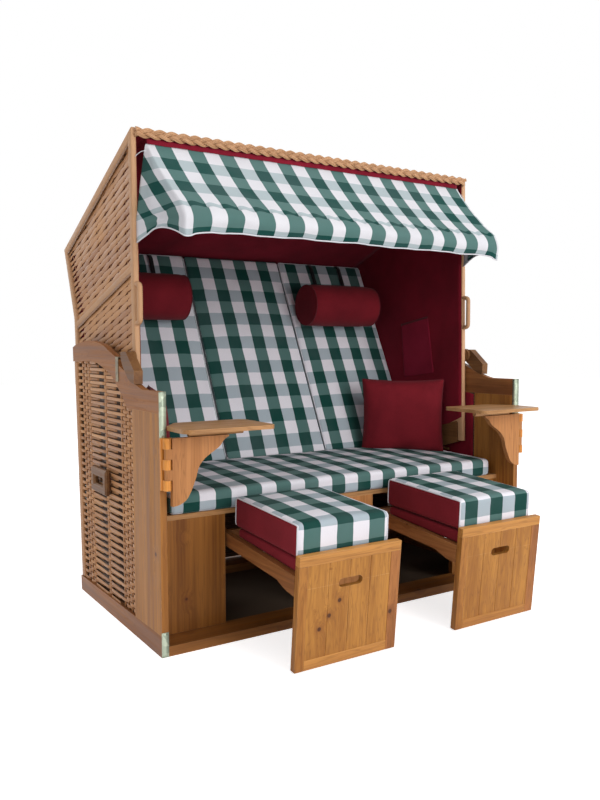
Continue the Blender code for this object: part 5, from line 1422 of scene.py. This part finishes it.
def unfolded(point, side, low, high):
    """Flat place of a point on the cloth that wraps a box from its top."""
    down = high[2] - point[2]
    x, y = point[0], point[1]
    if side == "front":
        y = low[1] - down
    elif side == "back":
        y = high[1] + down
    elif side == "left":
        x = low[0] - down
    elif side == "right":
        x = high[0] + down
    return x, y


class Pad:
    """A padded box: rounded edges, a crowned top, sides drawn in between the corners and soft creases."""

    def __init__(self, size, corner, crown, draw, cells, crease, seed):
        self.size, self.corner, self.crown, self.draw = np.array(size, float), corner, crown, draw
        self.crease, self.seed = crease, seed
        width, depth, height = size
        half = (height - crown) / 2
        self.axes = (lines(width / 2, corner, cells[0]), lines(depth / 2, corner, cells[1]),
                     lines(half, min(corner, height * EDGE_SHARES[1]), cells[2]) + half)

    def shape(self, points):
        """Moves points of the plain box onto the pad."""
        width, depth, height = self.size
        flat = height - self.crown
        middle = np.array((0, 0, flat / 2))
        radius = min(self.corner, flat * MOST_ROUND)
        reach = np.array((width / 2, depth / 2, flat / 2)) - radius
        rel = points - middle
        core = np.clip(rel, -reach, reach)
        away = rel - core
        far = np.linalg.norm(away, axis=1, keepdims=True)
        out = np.where(far > 1e-9, core + away / np.maximum(far, 1e-9) * radius, rel)
        a, b = points[:, 0] / (width / 2), points[:, 1] / (depth / 2)
        dome = (1 - np.abs(a) ** 3) * (1 - np.abs(b) ** 3)
        above = np.clip(out[:, 2] / (flat / 2), 0, 1)
        out[:, 2] += self.crown * dome * above
        fade = 1 - DRAW_FADE * np.abs(out[:, 2] / (flat / 2)) ** 2
        out[:, 0] *= 1 - self.draw * 2 / width * (1 - b * b) * fade
        out[:, 1] *= 1 - self.draw * 2 / depth * (1 - a * a) * fade
        wide, fine = CREASE_SCALES
        wave = np.array([noise.noise(Vector((x * wide + self.seed, y * wide, 0.5))) +
                         0.5 * noise.noise(Vector((x * fine, y * fine, self.seed)))
                         for x, y in points[:, :2]])
        out[:, 2] += self.crease * wave * above * np.clip(dome * 3, 0, 1)
        return out + middle

    def edge(self, level, steps):
        """A closed loop of points around the pad at a share of its height."""
        half_w, half_d = self.size[0] / 2, self.size[1] / 2
        flat = self.size[2] - self.crown
        run = np.linspace(-1, 1, steps, endpoint=False)
        front = np.column_stack([run * half_w, np.full(steps, -half_d)])
        right = np.column_stack([np.full(steps, half_w), run * half_d])
        loop = np.vstack([front, right, -front, -right])
        return self.shape(np.column_stack([loop, np.full(len(loop), flat * level)]))

    def side_edge(self, side):
        """The line over the left or right top edge, down to the foot at both ends."""
        half_w, half_d = self.size[0] / 2, self.size[1] / 2
        flat = self.size[2] - self.crown
        up, along = EDGE_STEPS
        rise = np.linspace(*EDGE_RISE, up) + np.linspace(0, flat, up)
        front = np.column_stack([np.full(up, side * half_w), np.full(up, -half_d), rise])
        rear = front[::-1] * (1, -1, 1)
        top = np.column_stack([np.full(along, side * half_w), np.linspace(-half_d, half_d, along),
                               np.full(along, flat)])
        return self.shape(np.vstack([front, top[1:-1], rear]))


def pad_piece(name, pad, place, body, top, side_material=None, pitch=(0.115, 0.115), dark=(0, 0),
              replaces=(), wrapped=BOX_SIDES):
    """A padded piece. Its checks count on the unfolded cloth from where a dark stripe starts each way."""
    points, faces, sides = box_surface(*pad.axes)
    low, high = points.min(0), points.max(0)
    uvs = []
    for face, side in zip(faces, sides):
        uvs += [unfolded(points[corner], side, low, high) for corner in face]
    uvs = (np.array(uvs) - dark) / pitch + 0.25
    mesh = new_mesh(name, place(pad.shape(points)), faces, uvs)
    piece = bpy.data.objects.new(name, mesh)
    finished(piece, body, top, replaces)
    if side_material:
        mesh.materials.append(side_material)
        for polygon, side in zip(mesh.polygons, sides):
            polygon.material_index = 0 if side in wrapped else 1
    softened(piece)
    return piece


BACK_DEEP = 0.0406
PANEL = 0.4641
PANEL_GAP = 0.0014
PANEL_SPACING = 0.46533
PANEL_CHECKS = {"left": ((0.10963, -0.2346), (0.1155, 0.1155)),
                "centre": ((-0.2314, -0.4232), (0.1153, 0.1105)),
                "right": ((-0.19963, -0.3703), (0.1148, 0.1107))}
PANEL_CORD = 0.0020
PANEL_CORD_OUT = 0.0006
PANEL_CORD_FOOT = 0.006
PANEL_CORD_LEVEL = 0.016
CORD_FACING = (0, -0.9, 0.43)


def back_place(centre_x):
    """Turns a panel's own axes, across, up and out of the board, into the chair's."""
    foot = np.array((centre_x, *BACK_FOOT))

    def place(points):
        points = np.asarray(points)
        raised = (points[:, 1:2] + BACK_LENGTH / 2) * BACK_UP
        return foot + points[:, :1] * (1, 0, 0) + raised + (BACK_DEEP - points[:, 2:3]) * BACK_BEHIND
    return place


def build_back_cushions():
    """Three checked panels on the leaning board, each piped along its sides and top."""
    for name, column in (("left", -1), ("centre", 0), ("right", 1)):
        pad = Pad(size=(PANEL - PANEL_GAP, BACK_LENGTH, 0.0404), corner=0.013, crown=0.010, draw=0.0015,
                  cells=(26, 48, 2), crease=0.0030, seed=column * 5.0)
        place = back_place(column * PANEL_SPACING)
        dark, pitch = PANEL_CHECKS[name]
        pad_piece("back_pad_" + name, pad, place, "hood", CHECK, pitch=pitch, dark=dark,
                  replaces=["back_cushion_" + name])
        loop = pad.edge(level=0.90, steps=60)
        path = place(loop + unit(loop - (0, 0, PANEL_CORD_LEVEL)) * PANEL_CORD_OUT)
        below = loop[:, 1] < -BACK_LENGTH / 2 + PANEL_CORD_FOOT
        start = int(np.argmax(below & ~np.roll(below, -1))) + 1
        path = np.roll(path, -start, 0)[:int((~below).sum())]
        cord = Strands()
        cord.sweep(path, CORD_FACING, round_section(PANEL_CORD, 6), 0.5)
        cord.make("back_piping_" + name, WHITE_TRIM if column else DARK_TRIM, "hood", slot="gingham")


def slide_place(centre, angle, wedge=0.0, length=1.0):
    """Turns a pad's own axes into the chair's on a sloping plane. A wedge is thicker in front."""
    ahead = np.array((0, cos(angle), sin(angle)))
    up = np.array((0, -sin(angle), cos(angle)))

    def place(points):
        points = np.asarray(points, float)
        thick = points[:, 2:3] * (1 - wedge * points[:, 1:2] / (length / 2))
        return np.array(centre) + points[:, :1] * (1, 0, 0) + points[:, 1:2] * ahead + thick * up
    return place


def build_seat_cushion():
    """The seat's one cushion, thinner in front."""
    pad = Pad(size=(1.3660, 0.4913, 0.0805), corner=0.017, crown=0.007, draw=0.003, cells=(74, 28, 3),
              crease=0.0035, seed=2.0)
    place = slide_place(centre=(0, 0.3263, 0.4004), angle=0.0, wedge=-0.105, length=pad.size[1])
    pad_piece("seat_pad", pad, place, "base", CHECK, pitch=(0.1118, 0.115), dark=(-0.4175, -0.2228),
              replaces=["seat_cushion"])


# Footrests

SLIDE_ANGLE = radians(5.2)
CUSHION_ANGLE = radians(3.1)
CUSHION_PLACE = {"left": (-0.316, -0.1281, 0.3372), "right": (0.299, -0.1281, 0.3372)}
CUSHION_DARK = {"left": (-0.141, -0.2025), "right": (-0.141, -0.135)}
CUSHION_CORD = (0.0026, 0.0010)
UNDER_PLACE = (-0.1309, 0.2982)
FOOT_X = 0.305
FOOT_HALF = 0.180
FOOT_HEIGHT = 0.338
FOOT_THICK = 0.0225
CHAMFER = 0.0016
STRIP_HEIGHT = 0.030
STRIP_WIDTHS = (0.030, 0.037)
STRIP_BACK = (0.0004, 0.0002)
INFILL_BACK = 0.0022
INFILL_THICK = FOOT_THICK - 0.006
INFILL_LAP = 0.001
INFILL_GRID = (20, 5)
BOARDS = 4
TONGUE = 0.0022
FOOT_SLOT = (0.085, 0.026, 0.097)


def build_footrest_pads():
    """Each footrest's checked cushion with its piping, and the pad below."""
    radius, outward = CUSHION_CORD
    for name, side in SIDES:
        body = "footrest_" + name
        centre = CUSHION_PLACE[name]
        place = slide_place(centre, CUSHION_ANGLE)
        pad = Pad(size=(0.3260, 0.3700, 0.1045), corner=0.017, crown=0.005, draw=0.003, cells=(22, 24, 6),
                  crease=0.0025, seed=side)
        top = pad_piece("foot_pad_top_" + name, pad, place, body, CHECK, SIDE_RED, dark=CUSHION_DARK[name],
                        replaces=["footrest_cushion_" + name], wrapped=("top", "front", "back"))
        piping = Strands()
        for edge in (-1, 1):
            path = place(pad.side_edge(edge) + (edge * outward, 0, 0))
            piping.sweep(path, (edge, 0, 0), round_section(radius, 6), 0.5)
        cord = piping.make("foot_piping_" + name, WHITE_TRIM, body, slot="gingham")
        under = Pad(size=(0.3290, 0.3615, 0.0368), corner=0.010, crown=0.002, draw=0.002, cells=(14, 16, 2),
                    crease=0.001, seed=side * 3)
        place = slide_place((side * FOOT_X, *UNDER_PLACE), SLIDE_ANGLE, wedge=0.184, length=under.size[1])
        pad_piece("foot_pad_under_" + name, under, place, body, SIDE_RED,
                  replaces=["footrest_pad_" + name])
        for piece in (top, cord):
            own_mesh(piece)


def chamfered_box(name, low, high, place, body, material):
    """A board with its edges taken off."""
    low, high = np.asarray(low, float), np.asarray(high, float)
    axes = [np.array([a, a + CHAMFER, b - CHAMFER, b]) for a, b in zip(low, high)]
    points, faces, _ = box_surface(*axes)
    reach = (high - low) / 2 - CHAMFER
    middle = (high + low) / 2
    core = np.clip(points - middle, -reach, reach)
    away = points - middle - core
    far = np.linalg.norm(away, axis=1, keepdims=True)
    rounded = middle + core + away / np.maximum(far, 1e-9) * CHAMFER
    uvs = [rounded[corner][[0, 2]] for face in faces for corner in face]
    piece = bpy.data.objects.new(name, new_mesh(name, place(rounded), faces, uvs, smooth=False))
    return finished(piece, body, material)


def front_place(side):
    """Turns a footrest front's own axes, across, back and up, into the chair's."""
    ahead = np.array((0, cos(FOOT_TILT), sin(FOOT_TILT)))
    up = np.array((0, -sin(FOOT_TILT), cos(FOOT_TILT)))
    corner = np.array((side * FOOT_X, *FOOT_TOP))

    def place(points):
        points = np.asarray(points)
        return corner + points[..., :1] * (1, 0, 0) + points[..., 1:2] * ahead + points[..., 2:3] * up
    return place


def infill_columns(left, right):
    """Places across a front's boards, with the finger slot's half height and the groove's depth at each."""
    joints = np.linspace(left, right, BOARDS + 1)[1:-1]
    half, end = FOOT_SLOT[0] / 2, FOOT_SLOT[1] / 2
    turn = end * (1 - np.cos(np.linspace(0, pi / 2, 6)))
    plain = np.linspace(left - INFILL_LAP, right + INFILL_LAP, INFILL_GRID[0])
    grooves = [[joint - TONGUE, joint, joint + TONGUE] for joint in joints]
    xs = np.unique(np.concatenate([plain, -half + turn, half - turn, *grooves]).round(6))
    inside = np.clip(half - np.abs(xs), 0, end)
    gap = np.where(np.abs(xs) < half, np.sqrt(np.maximum(end ** 2 - (end - inside) ** 2, 0)), 0.0)
    groove = np.array([max(0.0, TONGUE - min(abs(x - joint) for joint in joints)) for x in xs])
    return xs, gap, groove


def build_footrest_fronts():
    """Framed fronts: top, bottom and side strips around upright tongued boards with a finger slot."""
    left, right = -FOOT_HALF + STRIP_WIDTHS[0], FOOT_HALF - STRIP_WIDTHS[1]
    foot, sill = -FOOT_HEIGHT, -STRIP_HEIGHT
    boards = (("top", (-FOOT_HALF, 0, sill), (FOOT_HALF, FOOT_THICK, 0), EDGE_PINE),
              ("low", (left, STRIP_BACK[0], foot), (right, FOOT_THICK, foot + STRIP_HEIGHT), EDGE_PINE),
              ("side_a", (-FOOT_HALF, STRIP_BACK[1], foot), (left, FOOT_THICK, sill), PINE_UP),
              ("side_b", (right, STRIP_BACK[1], foot), (FOOT_HALF, FOOT_THICK, sill), RED_PINE))
    xs, gap, groove = infill_columns(left, right)
    slot_middle = FOOT_SLOT[2]
    spans = (("upper", sill + INFILL_LAP, gap - slot_middle),
             ("lower", -gap - slot_middle, foot + STRIP_HEIGHT - INFILL_LAP))
    rows = np.linspace(0, 1, INFILL_GRID[1])[:, None]
    for name, side in SIDES:
        body = "footrest_" + name
        place = front_place(side)
        for label, low, top, material in boards:
            chamfered_box(f"foot_{label}_{name}", low, top, place, body, material)
        for label, start, end in spans:
            levels = np.broadcast_to(start, xs.shape) * (1 - rows) + np.broadcast_to(end, xs.shape) * rows
            across, back = (np.broadcast_to(row, levels.shape) for row in (xs, INFILL_BACK + groove))
            points = np.stack([across, back, levels], -1)
            sheet = cloth_grid(f"foot_{label}_{name}", place(points), points[..., [0, 2]], PANEL_PINE, body,
                               INFILL_THICK, ["footrest_front_" + name], 1.0)
            sheet.data.shade_flat()


# Loose cushions and neck rolls

PILLOW = (0.345, 0.310, 0.095)
PILLOW_GRID = (33, 31)
PILLOW_TURN = {"left": radians(71), "right": radians(-43)}
PILLOW_LEAN = radians(-4)
PILLOW_PULL = 0.055
PILLOW_RIM = 0.03
PILLOW_CORNER = 0.03
PILLOW_RIPPLE = (3.1, 0.05)
PILLOW_PINCH = (9, 0.10)
PILLOW_SEAM = 0.0016
AROUND = 64
ROLL_ENDS = ((-1.0, 0.02), (-0.999, 0.35), (-0.996, 0.62), (-0.990, 0.82), (-0.983, 0.92), (-0.976, 0.955),
             (-0.968, 0.968), (-0.94, 0.975), (-0.90, 0.98))
ROLL_MIDDLE = 0.86
ROLL_BELLY = (0.982, 0.018)
ROLL_INSET = 0.001
ROLL_RIPPLE = 0.010
ROLL_GATHER = (0.010, 0.90, 0.985, 22)
ROLL_CLOTH = (0.2, 0.009)
ROLL_SEAM = (0.972, 0.966, 0.0018, 48)
STRAP_SHARES = {"left": (-0.29, 0.62), "right": (-0.13, 0.76)}
STRAP_WIDTH = (0.019, 0.0016)
STRAP_ARC = (1.55, 2.15, 8)
STRAP_GAP = (0.0012, 0.0022)
STRAP_RUN = (0.035, -0.006)
STRAP_TUCK = (0.003, 0.03)


def pillow_points():
    """A pillow's two faces, thickest in the middle, with sides that pull in between its corners."""
    width, height, thick = PILLOW
    across, upward = PILLOW_GRID
    points, faces = [], []
    for face in (-1, 1):
        for v in np.linspace(-1, 1, upward):
            for u in np.linspace(-1, 1, across):
                far = max(abs(u), abs(v))
                full = ((1 - u ** 4) * (1 - v ** 4)) ** 0.5
                scale, ripple = PILLOW_RIPPLE
                ripple *= noise.noise(Vector((u * scale, v * scale, face * 2.0)))
                scale, pinch = PILLOW_PINCH
                pinch *= noise.noise(Vector((u * scale, v * scale, face * 4.0))) * far ** 3 * full
                swell = full * (1 + ripple + pinch) * (1 - PILLOW_CORNER * far ** 6)
                points.append((u * width / 2 * (1 - PILLOW_PULL * (1 - v * v)),
                               face * thick / 2 * (PILLOW_RIM + (1 - PILLOW_RIM) * swell),
                               v * height / 2 * (1 - PILLOW_PULL * (1 - u * u))))
    count = across * upward
    grid = np.arange(count).reshape(upward, across)
    for layer, flip in ((grid, False), (grid + count, True)):
        for i in range(upward - 1):
            for j in range(across - 1):
                quad = [layer[i, j], layer[i, j + 1], layer[i + 1, j + 1], layer[i + 1, j]]
                faces.append(quad[::-1] if flip else quad)
    rim = np.concatenate([grid[0, :-1], grid[:-1, -1], grid[-1, :0:-1], grid[:0:-1, 0]])
    for here, after in zip(rim, np.roll(rim, -1)):
        faces.append([after, here, here + count, after + count])
    points = np.array(points)
    uvs = [points[corner][[0, 2]] for face in faces for corner in face]
    return points, faces, np.array(uvs), rim


def build_scatter_cushions():
    """Two red pillows that stand on the seat, turned in from its ends."""
    points, faces, uvs, rim = pillow_points()
    for name, turned in PILLOW_TURN.items():
        turn = Matrix.Rotation(turned, 3, "Z") @ Matrix.Rotation(PILLOW_LEAN, 3, "X")
        rotated = points @ np.array(turn).T
        low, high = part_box("scatter_cushion_" + name)
        centre = np.array((low + high) / 2) - (0, SHIFT, 0)
        placed = rotated - (rotated.max(0) + rotated.min(0)) / 2 + centre
        mesh = new_mesh("scatter_pad_" + name, placed, faces, uvs)
        piece = bpy.data.objects.new("scatter_pad_" + name, mesh)
        finished(piece, "base", RED, ["scatter_cushion_" + name])
        softened(piece)
        seam = Strands()
        loop = (placed[rim] + placed[rim + len(points) // 2]) / 2
        seam.sweep(loop, unit(loop - centre), round_section(PILLOW_SEAM, 6), 0.5, closed=True)
        seam.make("scatter_seam_" + name, RED_TRIM, "base", slot="canvas")


def roll_mesh(name, side, centre, length, radius):
    """A round bolster along x with flat ends, a little gathered beside its end seams."""
    belly, swell = ROLL_BELLY
    stations = list(ROLL_ENDS)
    stations += [(x, belly + swell * (1 - x * x)) for x in np.linspace(-ROLL_MIDDLE, ROLL_MIDDLE, 30)]
    stations += [(-x, share) for x, share in ROLL_ENDS[::-1]]
    depth, start, end, gathers = ROLL_GATHER
    along, across = ROLL_CLOTH
    points, faces, uvs = [], [], []
    for x, share in stations:
        for angle in np.arange(AROUND) * 2 * pi / AROUND:
            spot = Vector((x * 4, cos(angle) * 1.5, sin(angle) * 1.5 + side))
            gather = 1 - depth * (start < abs(x) < end) * (1 + cos(angle * gathers)) / 2
            r = radius * share * (1 + ROLL_RIPPLE * noise.noise(spot)) * gather
            points.append(centre + (x * length / 2, r * cos(angle), r * sin(angle)))
    for i in range(len(stations) - 1):
        u, after = stations[i][0] * along, stations[i + 1][0] * along
        for k in range(AROUND):
            a, b = i * AROUND + k, i * AROUND + (k + 1) % AROUND
            faces.append((a, b, b + AROUND, a + AROUND))
            v, beyond = k * across, (k + 1) * across
            uvs += [(u, v), (u, beyond), (after, beyond), (after, v)]
    last = (len(stations) - 1) * AROUND
    faces += [tuple(range(AROUND))[::-1], tuple(range(last, last + AROUND))]
    uvs += [(0, 0)] * (2 * AROUND)
    return new_mesh(name, points, faces, uvs)


def strap_line(centre, radius, x):
    """A strap's path and the way it faces: behind the roll, up the backrest and over its top."""
    foot = np.array((x, *BACK_FOOT))
    middle = np.array((x, *centre[1:]))
    roll_gap, board_gap = STRAP_GAP
    arc = np.array([middle + (radius + roll_gap) * (cos(t) * -BACK_BEHIND + sin(t) * BACK_UP)
                    for t in np.linspace(*STRAP_ARC)])
    level = float((arc[-1] - foot) @ BACK_UP)
    board = foot - BACK_BEHIND * board_gap
    face = steps_between(board + BACK_UP * (level + STRAP_RUN[0]),
                         board + BACK_UP * (BACK_LENGTH + STRAP_RUN[1]), 0.02)
    over = foot + BACK_UP * (BACK_LENGTH + STRAP_TUCK[0]) + BACK_BEHIND * STRAP_TUCK[1]
    path = np.vstack([arc, face, over])
    path[1:-1] = path[1:-1] * 0.5 + (path[:-2] + path[2:]) * 0.25
    normals = np.tile(-BACK_BEHIND * 0.8 + BACK_UP * 0.2, (len(path), 1))
    normals[:len(arc)] = unit(path[:len(arc)] - middle)
    return path, normals


def build_neck_rolls():
    """Round bolsters with flat sewn-in ends, each hung from two straps."""
    seam_x, seam_share, seam_radius, seam_steps = ROLL_SEAM
    turns = np.linspace(0, 2 * pi, seam_steps, endpoint=False)
    away = np.column_stack([np.zeros(seam_steps), np.cos(turns), np.sin(turns)])
    for name, side in SIDES:
        low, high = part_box("neck_roll_" + name)
        centre = np.array((low + high) / 2) - (0, SHIFT, 0)
        length, radius = high.x - low.x, (high.z - low.z) / 2 - ROLL_INSET
        mesh = roll_mesh("neck_pad_" + name, side, centre, length, radius)
        piece = bpy.data.objects.new("neck_pad_" + name, mesh)
        finished(piece, "hood", RED, ["neck_roll_" + name])
        softened(piece)
        seams = Strands()
        for end in (-1, 1):
            rim = centre + (end * seam_x * length / 2, 0, 0) + away * radius * seam_share
            seams.sweep(rim, away, round_section(seam_radius, 6), 0.5, closed=True)
        seams.make("neck_seam_" + name, RED_TRIM, "hood", slot="canvas")
        straps = Strands()
        for share in STRAP_SHARES[name]:
            path, normals = strap_line(centre, radius, centre[0] + share * length / 2)
            straps.sweep(path, normals, lens(*STRAP_WIDTH), 0.5)
        straps.make("neck_straps_" + name, STRAP, "hood", slot="canvas")


# Braid and grips

PLAIT_HALF = 0.708
PLAIT_LEVEL = 1.587
PLAIT_AHEAD = 0.0098
PLAIT_TURN = 0.122
PLAIT_SWING = (0.0102, 0.0050)
PLAIT_CANE = 0.0023
CANE_APART = 0.0042
CANE_CROWN = 0.0008
GRIP_PLACE = 0.710
GRIP_LEVEL = 1.05
GRIP_LINE = ((0.008, 0.990), (-0.0245, 0.994), (-0.0245, 1.111), (0.008, 1.115))
GRIP_BEND = 0.014
GRIP_CANE = 0.0088
GRIP_STEP = 0.0022
GRIP_GROOVE = 0.93


def build_braid():
    """A flat plait of three strands, each of three canes laid side by side."""
    work = Strands()
    xs = np.linspace(-PLAIT_HALF, PLAIT_HALF, 300)
    front = post_front(PLAIT_LEVEL) - PLAIT_AHEAD
    for strand in range(3):
        t = 2 * pi * xs / PLAIT_TURN + 2 * pi * strand / 3
        rise = PLAIT_SWING[0] * np.sin(t)
        depth = PLAIT_SWING[1] * np.sin(2 * t)
        flat = unit(np.column_stack([-np.gradient(rise, xs), np.zeros(len(xs)), np.ones(len(xs))]))
        middle = np.column_stack([xs, front - depth, PLAIT_LEVEL + rise])
        for k, offset in enumerate((-1, 0, 1)):
            path = middle + flat * offset * CANE_APART - np.array((0, CANE_CROWN * (1 - abs(offset)), 0))
            work.sweep(path, (0, -1, 0), round_section(PLAIT_CANE, 7), tone_of(strand, k, 2))
    work.make("plait", WOUND, "hood", ["braid"], "cane")


def build_grips():
    """Wound hand grips on the hood's front posts."""
    front = post_front(GRIP_LEVEL)
    flat = rounded_path([(front + y, z) for y, z in GRIP_LINE], [GRIP_BEND, GRIP_BEND], GRIP_STEP)
    base = np.array(round_section(GRIP_CANE, 10))
    sections = np.stack([base * (GRIP_GROOVE if index % 3 == 0 else 1) for index in range(len(flat))])
    for name, side in SIDES:
        work = Strands()
        work.sweep(side_lift(side, GRIP_PLACE)(flat), (side, 0, 0), sections, tone_of(side, 5, 5))
        work.make("grip_winding_" + name, WOUND, "hood", ["hood_grip_" + name], "cane")


for label, hand in SIDES:
    build_base_side(label, hand)
    build_hood_weave(label, hand)
    build_hood_beams(label, hand)
    build_hood_scallops(label, hand)
build_walls()
build_rear_backing()
build_linings()
build_base_linings()
build_edge_strips()
build_awning()
build_red_band()
build_back_cushions()
build_seat_cushion()
build_footrest_pads()
build_footrest_fronts()
build_scatter_cushions()
build_neck_rolls()
build_braid()
build_grips()
